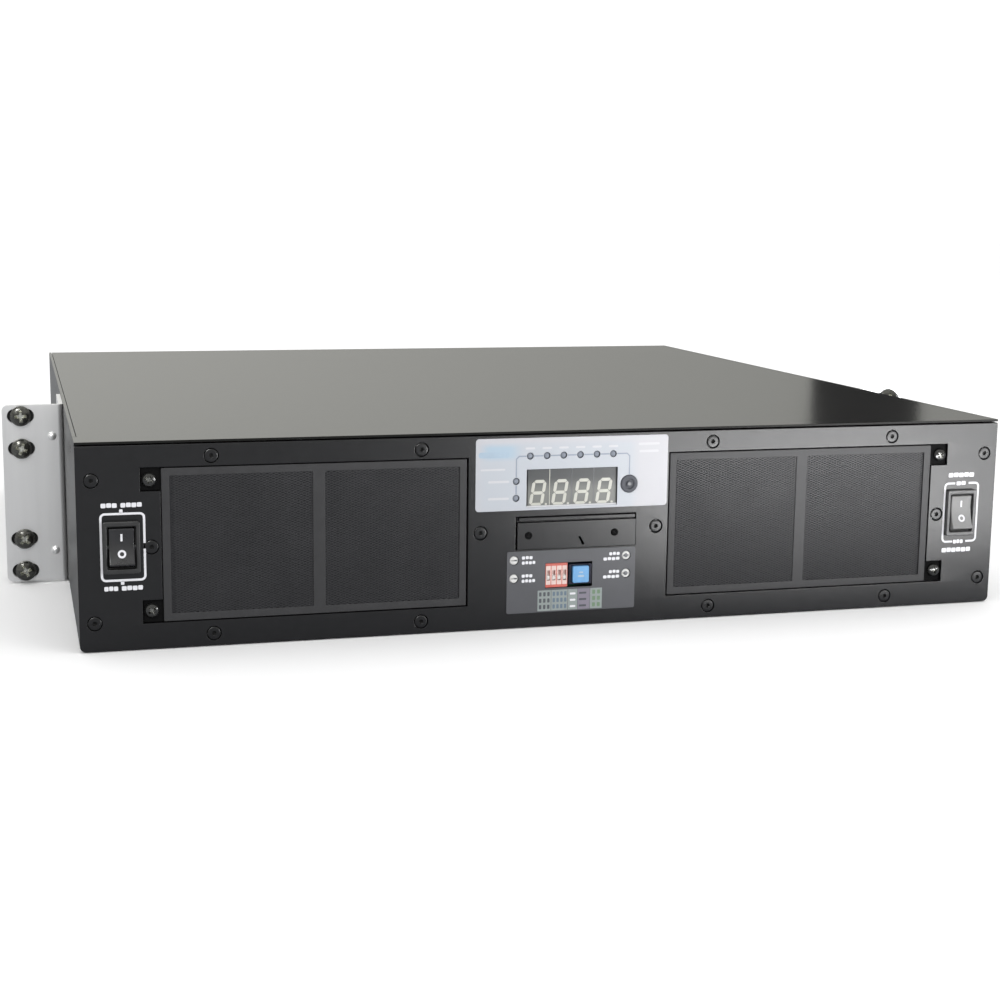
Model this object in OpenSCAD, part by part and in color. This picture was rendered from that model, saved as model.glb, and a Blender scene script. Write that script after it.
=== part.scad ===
// Rack-mounted uninterruptible power supply, 2 units high, with mid-mounted rack ears.
// Origin: centre of the bottom face. +X to the right seen from the front, +Y to the back, +Z up. Millimetres.

/* [Body] */
// Width of the body between its two side faces
body_w = 425; // [424:0.5:426]
// Depth of the body from the front panel's face to the rear panel's face
body_d = 435; // [430:1:445]
// Height of the body (2 rack units less the usual clearance)
body_h = 88; // [88:0.1:88.4]
// Thickness of the chassis sheet
sheet_t = 1.5; // [1.2:0.1:1.6]
// Thickness of the front panel
panel_t = 3; // [2.8:0.1:3]
// Thickness of the lid's sheet
lid_t = 1; // [0.8:0.1:1.2]
// Outer bend radius of the tray's long edges
bend_r = 2.5; // [2:0.1:3]

/* [Rack ears] */
// Distance from the front panel's face back to the ears' front face
ear_back = 144; // [100:1:200]
// Thickness of the ear's plate
ear_t = 2; // [1.8:0.1:2.4]
// Overall width across both ears
rack_w = 482.6; // [482:0.1:482.6]
// Distance between the left and right rows of rack screws
rack_hole_w = 465.1; // [464.6:0.1:465.6]
// Length of the ear's side leg
ear_leg = 46; // [40:1:60]
// Radius of the rack screws' shanks
rack_screw_r = 2.9; // [2.4:0.1:3]

/* [Fans] */
// Side of each square fan
fan_w = 60; // [59:0.5:60]
// Depth of each fan
fan_d = 25; // [20:1:28]
// Number of blades on each fan rotor
fan_blades = 7; // [5:1:9]
// Blade angle to the fan's face
blade_tilt = 38; // [25:1:45]

/* [Switches] */
// Angle that each rocker turns between its two positions
rocker_throw = 20; // [14:1:20]
// Width of the rocker's face
rocker_w = 10.4; // [10:0.1:10.4]

/* [Inside] */
// Number of fins on each heat sink
fin_count = 11; // [7:2:13]
// Number of power capacitors along the board
cap_count = 5; // [3:1:6]

/* [Hidden] */
$fn = 48;

W2 = body_w / 2;
YF = -body_d / 2;            // front panel's face
YR = body_d / 2;             // rear panel's face
YW = YF + panel_t;           // front face of the chassis's front wall
YI = YW + sheet_t;           // back of the chassis's front wall
panel_h = body_h - lid_t - 0.6;
lid_gap = 0.3;
lid_front = 18;              // length of the lid's full-width front band

// Air openings: a centred pair, mirrored left and right
gr_x0 = 46.5;  gr_x1 = 178.3;  gr_z0 = 11;  gr_z1 = 77;
tab_x1 = 186.5; tab_h = 10;
strip_x = 111.95; strip_w = 5.3;
fan_x = [-144.8, -80.2, 80.2, 144.8];
fan_z = 43;
mesh_t = 0.6;
rim = 3.8;

// Rocker switches
sw_x = 194.6;  sw_z = 44;
sw_bez = [15, 22, 2];
sw_y = YF + 0.3;             // rocker axis
rk_r = 8.2;
pin_r = 1.2;

// Display
lab = [-43.4, 53, 45.7, 85.1];
win = [-20.3, 54.0, 22.1, 71.2];
digit_x = [for (i = [0:3]) -14.5 + 10.25 * i];
led_x = [for (i = [0:5]) -18.7 + 7.7 * i];
led_z = 77.05;
led_side = [[-25, 66], [-25, 58.5]];
btn = [27.5, 63.3];
label_t = 0.3;
board_y = YF + 9.3;          // front face of the display board

// Option slot
slot = [-24.9, 35.2, 31.3, 50.1];
slot_screw = [[-18.9, 41.5], [21.3, 41.5]];

// Settings field
set_lab = [-28.8, 6.6, 31.3, 34.6];
set_y = YF + 7;              // front face of the settings board
dip = [-10.8, 17.6, -0.5, 28.6];
dip_x = [for (i = [0:3]) -9.46 + 2.54 * i];
dip_z = 23.1;
rst = [0, 18.6, 10.8, 27.8];
trim = [[-25.5, 30.6], [-25.5, 22.4], [27, 30.7], [27, 22.5]];

// Front panel screws, x and z
fp_screws = [
    for (s = [-1, 1]) each [
        [s * 157.2, 81.2], [s * 67.4, 81.2], [s * 157.2, 5.3], [s * 67.4, 5.3],
        [s * 206.2, 72], [s * 206.2, 12], [s * 182.4, 43.5], [s * 40.9, 43.5]
    ]
];

// Rack pattern heights, and the rack screws' necks
neck_r = rack_screw_r - 0.5;
rack_z = [for (d = [0, 15.875, 60.325, 76.2]) 5.9 + d];
ear_y = YF + ear_back;

// Rear panel features, x and z
inlet_at = [174, 27];
breaker_at = [174, 64];
outlet_at = [for (x = [131, 95], z = [27, 63]) [x, z]];
dc_at = [[26, 27], [61, 27]];
serial_at = [44, 66];
rear_screw = [[-204, 9], [-204, 80], [204, 9], [204, 80], [-2, 5.4]];

// ---------- helpers ----------

// A plate in the XZ plane from y0 to y0 + t
module plate(y0, t) {
    translate([0, y0 + t, 0]) rotate([90, 0, 0]) linear_extrude(t) children();
}

module rect(b) {
    translate([b[0], b[1]]) square([b[2] - b[0], b[3] - b[1]]);
}

// Rectangle with round corners, from its low corner
module rrect(b, r) {
    translate([b[0] + r, b[1]]) square([b[2] - b[0] - 2 * r, b[3] - b[1]]);
    translate([b[0], b[1] + r]) square([b[2] - b[0], b[3] - b[1] - 2 * r]);
    for (x = [b[0] + r, b[2] - r], z = [b[1] + r, b[3] - r]) translate([x, z]) circle(r);
}

// Round bar along +Y
module bar(x, y0, z, r, len) {
    translate([x, y0, z]) rotate([-90, 0, 0]) cylinder(r = r, h = len);
}

// Cone along +Y
module cone(x, y0, z, r1, r2, len) {
    translate([x, y0, z]) rotate([-90, 0, 0]) cylinder(r1 = r1, r2 = r2, h = len);
}

// Box from its two corners
module box(a, b) {
    translate(a) cube([b[0] - a[0], b[1] - a[1], b[2] - a[2]]);
}

// Flat-head screw along +Y: its face at y0
module flat_screw(x, y0, z, r_head, r, len) {
    difference() {
        union() {
            bar(x, y0, z, r_head, 0.25);
            cone(x, y0 + 0.25, z, r_head, r, r_head - r);
            bar(x, y0, z, r, len);
        }
        translate([x, y0 - 0.1, z]) rotate([-90, 0, 0]) cylinder(r = r * 0.62, h = 1.3, $fn = 6);
    }
}

// Pan-head screw along +Y: the underside of its head at y0
module pan_screw(x, y0, z, r_head, h_head, r, len) {
    difference() {
        union() {
            bar(x, y0 - h_head * 0.6, z, r_head, h_head * 0.6);
            cone(x, y0 - h_head, z, r_head * 0.72, r_head, h_head * 0.4);
            bar(x, y0 - 0.5, z, r, len + 0.5);
        }
        for (a = [0, 90]) translate([x, y0 - h_head + h_head * 0.25, z]) rotate([0, a, 0])
            cube([r_head * 1.05, h_head * 0.7, r_head * 0.22], center = true);
    }
}

// ---------- sheet metal ----------

// Tray with side walls, front wall and rear flanges
module chassis() {
    color([0.2, 0.2, 0.21]) difference() {
        union() {
            // bottom and sides, one bent sheet
            translate([0, YR, 0]) rotate([90, 0, 0]) linear_extrude(YR - YW) tray_section();
            // front wall behind the panel
            plate(YW, sheet_t) rect([-W2 + 0.8, 0.8, W2 - 0.8, panel_h - 0.4]);
            // rear flanges
            for (s = [-1, 1]) translate([s * (W2 - sheet_t - 5.5), 0, 0])
                box([-6, YR - 3, 1], [6, YR - sheet_t, body_h - 3]);
            plate(YR - 3, sheet_t) rect([-W2 + 5, 0.8, W2 - 5, 11]);
            // board posts
            for (x = [-195, -70, 70, 195], y = [-165, -35]) translate([x, y, 0.5]) cylinder(r = 3, h = 7.4);
        }
        // lowered top edge under the lid's front band
        box([-W2 - 1, YW - 1, body_h - lid_t - 0.1], [W2 + 1, YF + lid_front, body_h + 1]);
        // fan windows
        for (x = fan_x) bar(x, YW - 1, fan_z, 28, sheet_t + 2);
        for (x = fan_x, dx = [-25, 25], dz = [-25, 25]) bar(x + dx, YW - 1, fan_z + dz, 1.85, sheet_t + 2);
        // display, option slot and settings windows
        plate(YW - 1, sheet_t + 2) {
            rect([-36, 52.5, 36, 82]);
            rect([-15, 36.6, 17.4, 48.6]);
            rect([-34, 8.5, 36, 34.4]);
            for (s = [-1, 1]) rect([s * sw_x - 6.8, sw_z - 9.9, s * sw_x + 6.8, sw_z + 9.9]);
        }
        // screw holes in the front wall
        for (p = fp_screws) bar(p[0], YW - 1, p[1], 1.55, sheet_t + 2);
        for (s = [-1, 1], z = [16.5, 71.8]) bar(s * 182.8, YW - 1, z, 1.55, sheet_t + 2);
        for (p = slot_screw) bar(p[0], YW - 1, p[1], 1.05, sheet_t + 2);
        // screw holes for the ears and the lid
        for (s = [-1, 1]) {
            for (y = [14, 36], z = [20, 68]) translate([s * W2, ear_y + y, z]) rotate([0, 90, 0])
                cylinder(r = 2.05, h = 8, center = true);
            for (y = [-170, 60, 190]) translate([s * (W2 + 0.01), y, 80]) rotate([0, -s * 90, 0]) {
                cylinder(r1 = 2.9, r2 = 1.6, h = 1.31);
                cylinder(r = 1.6, h = 3);
            }
        }
        // rear panel screw holes
        for (p = rear_screw) bar(p[0], YR - 4, p[1], 1.55, 3);
        // rear top edge of the bottom flange stays clear of the sockets
        box([-W2 + 14, YR - 3.2, 9], [W2 - 14, YR - 1, 12]);
    }
}

// Cross-section of the bent tray in X and Z
module tray_section() {
    difference() {
        union() {
            translate([-W2 + bend_r, 0]) square([body_w - 2 * bend_r, sheet_t]);
            for (s = [-1, 1]) {
                translate([s * (W2 - sheet_t / 2) - sheet_t / 2, bend_r]) square([sheet_t, body_h - bend_r]);
                translate([s * (W2 - bend_r), bend_r]) circle(bend_r);
            }
        }
        for (s = [-1, 1]) {
            translate([s * (W2 - bend_r), bend_r]) circle(bend_r - sheet_t);
            translate([s > 0 ? W2 - 2 * bend_r : -W2 + sheet_t, bend_r]) square([2 * bend_r - sheet_t, bend_r]);
            translate([s > 0 ? W2 - 2 * bend_r : -W2 + bend_r, sheet_t]) square([bend_r, 2 * bend_r]);
        }
    }
}

// Flat lid that drops between the side walls, with folded side flanges
module top_cover() {
    wi = W2 - sheet_t - lid_gap;
    color([0.24, 0.24, 0.24]) difference() {
        union() {
            box([-wi, YF + lid_front, body_h - lid_t], [wi, YR, body_h]);
            box([-W2, YF + 0.2, body_h - lid_t], [W2, YF + lid_front - 0.3, body_h]);
            box([-wi, YF + lid_front - 0.5, body_h - lid_t], [wi, YF + lid_front + 0.5, body_h]);
            for (s = [-1, 1]) box([s > 0 ? wi - lid_t : -wi, YF + lid_front + 4, 72], [s > 0 ? wi : -wi + lid_t, YR - 6, body_h - lid_t / 2]);
        }
        for (s = [-1, 1], y = [-170, 60, 190]) translate([s * wi, y, 80]) rotate([0, 90, 0])
            cylinder(r = 1.55, h = 6, center = true);
    }
}

// Front panel with every opening the controls and air need
module front_panel() {
    color([0.13, 0.13, 0.14]) difference() {
        union() {
            plate(YF, panel_t) union() {
                rrect([-W2, 0, W2, panel_h - 4], bend_r);
                rrect([-W2, 6, W2, panel_h], 0.6);
            }
            // studs that carry the display board
            for (x = [-32, 33.5], z = [56, 80]) bar(x, YF + panel_t - 0.5, z, 2, board_y - YF - panel_t + 0.5);
            // studs that carry the settings board
            for (x = [-31.5, 33.5], z = [14, 28]) bar(x, YF + panel_t - 0.5, z, 1.8, set_y - YF - panel_t + 0.5);
        }
        plate(YF - 1, panel_t + 2) {
            for (s = [-1, 1]) {
                rect(s > 0 ? [gr_x0, gr_z0, gr_x1, gr_z1] : [-gr_x1, gr_z0, -gr_x0, gr_z1]);
                for (z = [gr_z0, gr_z1 - tab_h]) rect(s > 0 ? [gr_x1 - 1, z, tab_x1, z + tab_h] : [-tab_x1, z, -gr_x1 + 1, z + tab_h]);
                rect([s * sw_x - 6.6, sw_z - 9.65, s * sw_x + 6.6, sw_z + 9.65]);
            }
            rect(win);
            rect(slot);
            rect([dip[0] - 0.3, dip[1] - 0.3, rst[2] + 0.3, dip[3] + 0.3]);
        }
        for (x = led_x) bar(x, YF - 1, led_z, 1.6, panel_t + 2);
        for (p = led_side) bar(p[0], YF - 1, p[1], 1.6, panel_t + 2);
        bar(btn[0], YF - 1, btn[1], 4.1, panel_t + 2);
        for (p = trim) bar(p[0], YF - 1, p[1], 2.15, panel_t + 2);
        for (p = fp_screws) {
            bar(p[0], YF - 1, p[1], 1.65, panel_t + 2);
            bar(p[0], YF - 1, p[1], 3.1, 1.27);
            cone(p[0], YF + 0.26, p[1], 3.1, 1.6, 1.5);
        }
    }
}

// Rear panel
module rear_panel() {
    color([0.17, 0.17, 0.18]) difference() {
        plate(YR - sheet_t, sheet_t) rrect([-W2 + sheet_t + 0.2, sheet_t + 0.2, W2 - sheet_t - 0.2, body_h - lid_t - 0.2], 1.2);
        plate(YR - sheet_t - 1, sheet_t + 2) {
            rect([inlet_at[0] - 13.8, inlet_at[1] - 10.2, inlet_at[0] + 13.8, inlet_at[1] + 10.2]);
            for (p = outlet_at) rect([p[0] - 13.2, p[1] - 10.2, p[0] + 13.2, p[1] + 10.2]);
            rect([serial_at[0] - 9.6, serial_at[1] - 5.6, serial_at[0] + 9.6, serial_at[1] + 5.6]);
            // air slots
            for (i = [0:24], j = [0:2]) rect([-194 + 7.6 * i, 14 + 21 * j, -191 + 7.6 * i, 31 + 21 * j]);
        }
        bar(breaker_at[0], YR - 3, breaker_at[1], 6.1, 5);
        for (p = dc_at) bar(p[0], YR - 3, p[1], 8.1, 5);
        for (s = [-1, 1]) {
            bar(inlet_at[0] + s * 20, YR - 3, inlet_at[1], 1.6, 5);
            bar(serial_at[0] + s * 12.5, YR - 3, serial_at[1], 1.6, 5);
        }
        for (p = rear_screw) bar(p[0], YR - 3, p[1], 1.6, 5);
    }
}

// L-shaped rack ear on side s: flange outwards, leg along the side wall to the back
module ear(s) {
    r_o = ear_t + 0.5;
    color([0.82, 0.82, 0.82]) mirror([s > 0 ? 0 : 1, 0, 0]) difference() {
        union() {
            intersection() {
                translate([0, 0, 0.5]) linear_extrude(body_h - 1) difference() {
                    union() {
                        translate([W2 + r_o, ear_y]) square([rack_w / 2 - W2 - r_o, ear_t]);
                        translate([W2, ear_y + r_o]) square([ear_t, ear_leg - r_o]);
                        translate([W2 + r_o, ear_y + r_o]) circle(r_o);
                    }
                    translate([W2 + r_o, ear_y + r_o]) circle(0.5);
                    translate([W2 + ear_t, ear_y + r_o]) square([r_o, r_o]);
                    translate([W2 + r_o, ear_y + ear_t]) square([r_o, r_o]);
                }
                plate(ear_y - 1, ear_leg + 2) rrect([W2 - 4, 0.5, rack_w / 2, body_h - 0.5], 3);
            }
            // pressed gussets across the bend
            for (z = [15.5, 72]) translate([W2 + 5.6, ear_y + 0.9, z]) sphere(r = 2.2);
        }
        box([W2 + ear_t, ear_y + ear_t, -1], [W2 + 12, ear_y + 12, body_h + 1]);
        // slots for the rack screws
        for (z = rack_z) plate(ear_y - 2, ear_t + 4) {
            translate([rack_hole_w / 2 - 2.9, z - 3.4]) square([5.8, 6.8]);
            for (d = [-2.9, 2.9]) translate([rack_hole_w / 2 + d, z]) circle(3.4);
        }
        // screw holes in the leg
        for (y = [14, 36], z = [20, 68]) translate([W2, ear_y + y, z]) rotate([0, 90, 0])
            cylinder(r = 2.1, h = 12, center = true);
    }
}

module ear_left() { ear(-1); }
module ear_right() { ear(1); }

// ---------- fasteners ----------

// Captive screws: a neck in the ear, then the thread
module rack_screws() {
    color([0.15, 0.15, 0.14]) for (s = [-1, 1], z = rack_z) {
        pan_screw(s * rack_hole_w / 2, ear_y, z, 4.9, 3.4, neck_r, ear_t + 1.3);
        bar(s * rack_hole_w / 2, ear_y + ear_t + 1.2, z, rack_screw_r, 18 - ear_t - 1.2);
    }
}

// Oblong black clips behind the ear slots, which hold the rack screws in the ears
module rack_screw_retainers() {
    color([0.1, 0.1, 0.1]) for (s = [-1, 1], z = rack_z) difference() {
        plate(ear_y + ear_t, 1) rrect([s * rack_hole_w / 2 - 7.2, z - 4.8, s * rack_hole_w / 2 + 7.2, z + 4.8], 2);
        bar(s * rack_hole_w / 2, ear_y + ear_t - 1, z, neck_r, 3);
    }
}

module ear_screws() {
    color([0.3, 0.3, 0.3]) for (s = [-1, 1], y = [14, 36], z = [20, 68])
        translate([s * (W2 + ear_t), ear_y + y, z]) rotate([0, 0, s * 90]) pan_screw(0, 0, 0, 3.6, 2.2, 1.95, 8);
}

module front_panel_screws() {
    color([0.1, 0.1, 0.1]) for (p = fp_screws) flat_screw(p[0], YF + 0.05, p[1], 3, 1.5, 8);
}

module cover_screws() {
    color([0.1, 0.1, 0.1]) for (s = [-1, 1], y = [-170, 60, 190])
        translate([s * (W2 - 0.05), y, 80]) rotate([0, 0, s * 90]) difference() {
            union() {
                cone(0, 0, 0, 2.75, 1.5, 1.25);
                bar(0, 0, 0, 1.5, 6);
            }
            translate([0, -0.1, 0]) rotate([-90, 0, 0]) cylinder(r = 0.95, h = 1.2, $fn = 6);
        }
}

module rear_panel_screws() {
    color([0.1, 0.1, 0.1]) for (p = rear_screw) translate([p[0], YR, p[1]]) rotate([0, 0, 180])
        pan_screw(0, 0, 0, 2.8, 1.9, 1.5, 6);
}

module grille_screws() {
    color([0.12, 0.12, 0.12]) for (s = [-1, 1], z = [16.5, 71.8])
        pan_screw(s * 182.8, YF + 1.4, z, 3.1, 2.2, 1.5, 7);
}

module slot_cover_screws() {
    color([0.12, 0.12, 0.12]) for (p = slot_screw) pan_screw(p[0], YF + 0.3, p[1], 1.7, 1.1, 1, 6.5);
}

// ---------- air filters and fans ----------

// Removable grille for one air opening, on side s
module filter_grille(s) {
    y0 = YF + 0.4;
    color([0.22, 0.22, 0.23]) mirror([s > 0 ? 0 : 1, 0, 0]) difference() {
        union() {
            plate(y0, mesh_t) rect([gr_x0 + 0.25, gr_z0 + 0.25, gr_x1 - 0.25, gr_z1 - 0.25]);
            difference() {
                union() {
                    plate(y0, YW - y0) rect([gr_x0 + 0.25, gr_z0 + 0.25, gr_x1 - 0.25, gr_z1 - 0.25]);
                    plate(YF + 1.4, YW - YF - 1.4) for (z = [gr_z0, gr_z1 - tab_h])
                        rect([gr_x1 - 2, z + 0.25, tab_x1 - 0.25, z + tab_h - 0.25]);
                }
                plate(y0 + mesh_t, panel_t) {
                    rect([gr_x0 + rim, gr_z0 + rim, strip_x - strip_w / 2, gr_z1 - rim]);
                    rect([strip_x + strip_w / 2, gr_z0 + rim, gr_x1 - rim, gr_z1 - rim]);
                }
            }
        }
        for (z = [16.5, 71.8]) bar(182.8, YF - 1, z, 1.65, panel_t + 2);
    }
}

module filter_grille_left() { filter_grille(-1); }
module filter_grille_right() { filter_grille(1); }

// Thin gauze pads behind the grilles
module filter_gauze() {
    y0 = YF + 0.4 + mesh_t + 0.05;
    color([0.3, 0.3, 0.3]) for (s = [-1, 1]) mirror([s > 0 ? 0 : 1, 0, 0]) {
        plate(y0, YW - y0 - 0.1) rect([gr_x0 + rim + 0.1, gr_z0 + rim + 0.1, strip_x - strip_w / 2 - 0.1, gr_z1 - rim - 0.1]);
        plate(y0, YW - y0 - 0.1) rect([strip_x + strip_w / 2 + 0.1, gr_z0 + rim + 0.1, gr_x1 - rim - 0.1, gr_z1 - rim - 0.1]);
    }
}

// Square fan frames with a bush on four struts
module fan_frames() {
    color([0.1, 0.1, 0.1]) for (x = fan_x) difference() {
        union() {
            difference() {
                plate(YI, fan_d) rrect([x - fan_w / 2, fan_z - fan_w / 2, x + fan_w / 2, fan_z + fan_w / 2], 3);
                bar(x, YI - 1, fan_z, 28.6, fan_d + 2);
            }
            intersection() {
                bar(x, YI + fan_d - 4, fan_z, 29, 4);
                translate([x, YI + fan_d - 1.5, fan_z]) for (a = [45, 135]) rotate([0, a, 0]) cube([60, 3, 4], center = true);
            }
            bar(x, YI + fan_d - 3.5, fan_z, 12, 3.5);
        }
        bar(x, YI - 1, fan_z, 1.55, fan_d + 2);
        for (dx = [-25, 25], dz = [-25, 25]) bar(x + dx, YI - 1, fan_z + dz, 2.15, fan_d + 2);
    }
}

// Hub, shaft and tilted blades of fan i
module fan_rotor(i) {
    x = fan_x[i];
    color([0.14, 0.14, 0.14]) union() {
        difference() {
            bar(x, YI + 2.5, fan_z, 12.5, fan_d - 8);
            bar(x, YI + 5, fan_z, 10.8, fan_d);
        }
        bar(x, YI + 3, fan_z, 1.5, fan_d - 4);
        bar(x, YI + 3, fan_z, 3, 10);
        intersection() {
            difference() {
                bar(x, YI + 2.5, fan_z, 27.4, fan_d - 8.2);
                bar(x, YI + 2, fan_z, 12, fan_d);
            }
            translate([x, YI + fan_d / 2 - 1.5, fan_z]) for (k = [0:fan_blades - 1]) rotate([0, 360 / fan_blades * k, 0])
                translate([19, 0, 0]) rotate([blade_tilt, 0, 0]) cube([22, 24, 1.2], center = true);
        }
    }
}

module fan_rotor_1() { fan_rotor(0); }
module fan_rotor_2() { fan_rotor(1); }
module fan_rotor_3() { fan_rotor(2); }
module fan_rotor_4() { fan_rotor(3); }

module fan_screws() {
    color([0.55, 0.55, 0.55]) for (x = fan_x, dx = [-25, 25], dz = [-25, 25]) union() {
        bar(x + dx, YW - 0.0, fan_z + dz, 1.75, fan_d + sheet_t + 3);
        translate([x + dx, YI + fan_d, fan_z + dz]) rotate([-90, 0, 0]) cylinder(r = 3.1, h = 2.4, $fn = 6);
    }
}

// ---------- rocker switches ----------

// Housing of the rocker switch on side s, with its terminals
module rocker_housing(s) {
    x = s * sw_x;
    color([0.1, 0.1, 0.11]) difference() {
        union() {
            plate(YF - sw_bez[2], sw_bez[2]) rrect([x - sw_bez[0] / 2, sw_z - sw_bez[1] / 2, x + sw_bez[0] / 2, sw_z + sw_bez[1] / 2], 1);
            plate(YF - 0.5, 14.5) rect([x - 6.45, sw_z - 9.5, x + 6.45, sw_z + 9.5]);
            for (z = [-6, 0, 6]) box([x - 2.4, YF + 13.5, sw_z + z - 0.4], [x + 2.4, YF + 21, sw_z + z + 0.4]);
        }
        plate(YF - 3, 9) rect([x - rocker_w / 2 - 0.2, sw_z - rk_r - 0.25, x + rocker_w / 2 + 0.2, sw_z + rk_r + 0.25]);
        translate([x, sw_y, sw_z]) rotate([0, 90, 0]) cylinder(r = pin_r + 0.05, h = 12.4, center = true);
    }
}

// Rocker on its two pins, resting with the upper half pressed in
module rocker(s) {
    x = s * sw_x;
    color([0.12, 0.12, 0.13]) translate([x, sw_y, sw_z]) rotate([-rocker_throw / 2, 0, 0]) union() {
        rotate([0, 90, 0]) cylinder(r = pin_r, h = 12, center = true);
        translate([-rocker_w / 2, 0, 0]) rotate([90, 0, 90]) linear_extrude(rocker_w) intersection() {
            circle(rk_r);
            polygon([[-3.2, 8.3], [-1.8, 0], [-3.2, -8.3], [3.4, -8.3], [3.4, 8.3]]);
        }
    }
}

module mode_switch_housing() { rocker_housing(-1); }
module power_switch_housing() { rocker_housing(1); }
module mode_switch_rocker() { rocker(-1); }
module power_switch_rocker() { rocker(1); }

// ---------- display ----------

module display_label() {
    color([0.9, 0.9, 0.94]) difference() {
        plate(YF - label_t, label_t) rrect(lab, 1.5);
        plate(YF - 1, 2) rect([win[0] + 0.1, win[1] + 0.1, win[2] - 0.1, win[3] - 0.1]);
        for (x = led_x) bar(x, YF - 1, led_z, 1.55, 2);
        for (p = led_side) bar(p[0], YF - 1, p[1], 1.55, 2);
        bar(btn[0], YF - 1, btn[1], 4.05, 2);
    }
}

module display_board() {
    color([0.1, 0.35, 0.2]) plate(board_y, 1.6) rect([-35.5, 53.2, 35.7, 81.6]);
}

// Four seven-segment modules
module digit_displays() {
    color([0.55, 0.56, 0.58]) for (x = digit_x)
        box([x - 5, YF + 0.7, win[1] + 0.2], [x + 5, board_y, win[3] - 0.2]);
}

// Eight round signal lamps
module status_leds() {
    color([0.62, 0.66, 0.72]) {
        for (x = led_x) led(x, led_z);
        for (p = led_side) led(p[0], p[1]);
    }
}

module led(x, z) {
    bar(x, YF + 0.1, z, 1.45, 3.4);
    bar(x, YF + 3.3, z, 1.7, board_y - YF - 3.3);
}

// Round button cap with a ring groove and a hollow for the fingertip
module select_button() {
    color([0.3, 0.31, 0.33]) difference() {
        union() {
            bar(btn[0], YF - 0.9, btn[1], 3.9, 4.4);
            bar(btn[0], YF + 3, btn[1], 4.6, 1);
            bar(btn[0], YF + 3.5, btn[1], 1.7, board_y - YF - 5.3);
        }
        difference() {
            bar(btn[0], YF - 1.2, btn[1], 2.3, 0.8);
            bar(btn[0], YF - 2, btn[1], 1.25, 3);
        }
    }
}

// Key switch on the board behind the button cap
module select_button_switch() {
    color([0.2, 0.2, 0.2]) difference() {
        plate(board_y - 3.4, 3.4) rect([btn[0] - 3, btn[1] - 3, btn[0] + 3, btn[1] + 3]);
        bar(btn[0], board_y - 4.6, btn[1], 1.75, 3.8);
    }
}

// ---------- option slot ----------

// Blank plate nearly flush with the panel, folded back to the tray
module slot_cover() {
    color([0.16, 0.16, 0.17]) difference() {
        union() {
            plate(YF + 0.3, 1.2) rect([slot[0] + 0.9, slot[1] + 0.15, slot[2] - 0.15, 47.3]);
            // folded back along its top and bottom, down to the tray
            box([slot[0] + 0.9, YF + 0.3, 46.1], [slot[2] - 0.15, YW, 47.3]);
            box([slot[0] + 0.9, YF + 0.3, slot[1] + 0.15], [slot[2] - 0.15, YW, slot[1] + 1.35]);
            // finger rib along the top of the opening, with a groove below it
            plate(YW - 1.2, 1.2) rect([slot[0] + 0.9, 46.5, slot[2] - 0.15, slot[3] - 0.6]);
            box([slot[0] + 1.6, YF + 0.6, 47.95], [slot[2] - 1.3, YW, slot[3] - 0.6]);
            // spacers for the two screws
            for (p = slot_screw) bar(p[0], YF + 0.4, p[1], 2.2, YW - YF - 0.4);
        }
        for (p = slot_screw) bar(p[0], YF - 1, p[1], 1.05, 6);
        // release notch
        translate([5.7, YF + 1, 38.4]) rotate([0, -30, 0]) cube([1, 3, 4.2], center = true);
    }
}

// ---------- settings field ----------

module settings_label() {
    color([0.42, 0.42, 0.44]) difference() {
        plate(YF - label_t, label_t) rrect(set_lab, 0.8);
        plate(YF - 1, 2) rect([dip[0] - 0.2, dip[1] - 0.2, rst[2] + 0.2, dip[3] + 0.2]);
        for (p = trim) bar(p[0], YF - 1, p[1], 2.1, 2);
    }
}

module settings_board() {
    color([0.1, 0.35, 0.2]) plate(set_y, 1.6) rect([-34, 10, 36, 33]);
}

module dip_switch_body() {
    color([0.72, 0.12, 0.1]) difference() {
        box([dip[0], YF + 0.1, dip[1]], [dip[2], set_y, dip[3]]);
        for (x = dip_x) box([x - 0.75, YF - 1, dip_z - 2.3], [x + 0.75, YF + 2, dip_z + 2.3]);
    }
}

// Slider i, resting at the lower end of its groove
module dip_slider(i) {
    x = dip_x[i];
    color([0.93, 0.93, 0.9]) {
        box([x - 0.7, YF + 0.85, dip_z - 2.2], [x + 0.7, YF + 1.95, dip_z + 0.2]);
        box([x - 0.55, YF + 0.15, dip_z - 1.75], [x + 0.55, YF + 0.95, dip_z - 0.25]);
    }
}

module dip_slider_1() { dip_slider(0); }
module dip_slider_2() { dip_slider(1); }
module dip_slider_3() { dip_slider(2); }
module dip_slider_4() { dip_slider(3); }

module reset_button_housing() {
    color([0.08, 0.09, 0.12]) difference() {
        box([rst[0], YF - 0.1, rst[1]], [rst[2], set_y, rst[3]]);
        box([1.45, YF - 1, 19.25], [9.35, YF + 4.5, 26.55 + 0.6]);
    }
}

module reset_button() {
    color([0.35, 0.62, 0.85]) box([1.6, YF - 1.3, 19.4], [9.2, YF + 3.2, 27]);
}

module trimmer_bodies() {
    color([0.15, 0.25, 0.5]) for (p = trim) difference() {
        plate(YW + 0.2, set_y - YW - 0.2) rect([p[0] - 3.2, p[1] - 3.2, p[0] + 3.2, p[1] + 3.2]);
        bar(p[0], YW - 1, p[1], 1.25, 10);
    }
}

// White adjuster i with its screwdriver slot
module trimmer_rotor(i) {
    p = trim[i];
    color([0.92, 0.92, 0.9]) difference() {
        union() {
            bar(p[0], YF + 0.1, p[1], 1.95, panel_t + 0.05);
            bar(p[0], YF + 1, p[1], 1.2, set_y - YF - 1.3);
        }
        translate([p[0], YF + 0.3, p[1]]) cube([2.9, 1.2, 0.7], center = true);
    }
}

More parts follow.
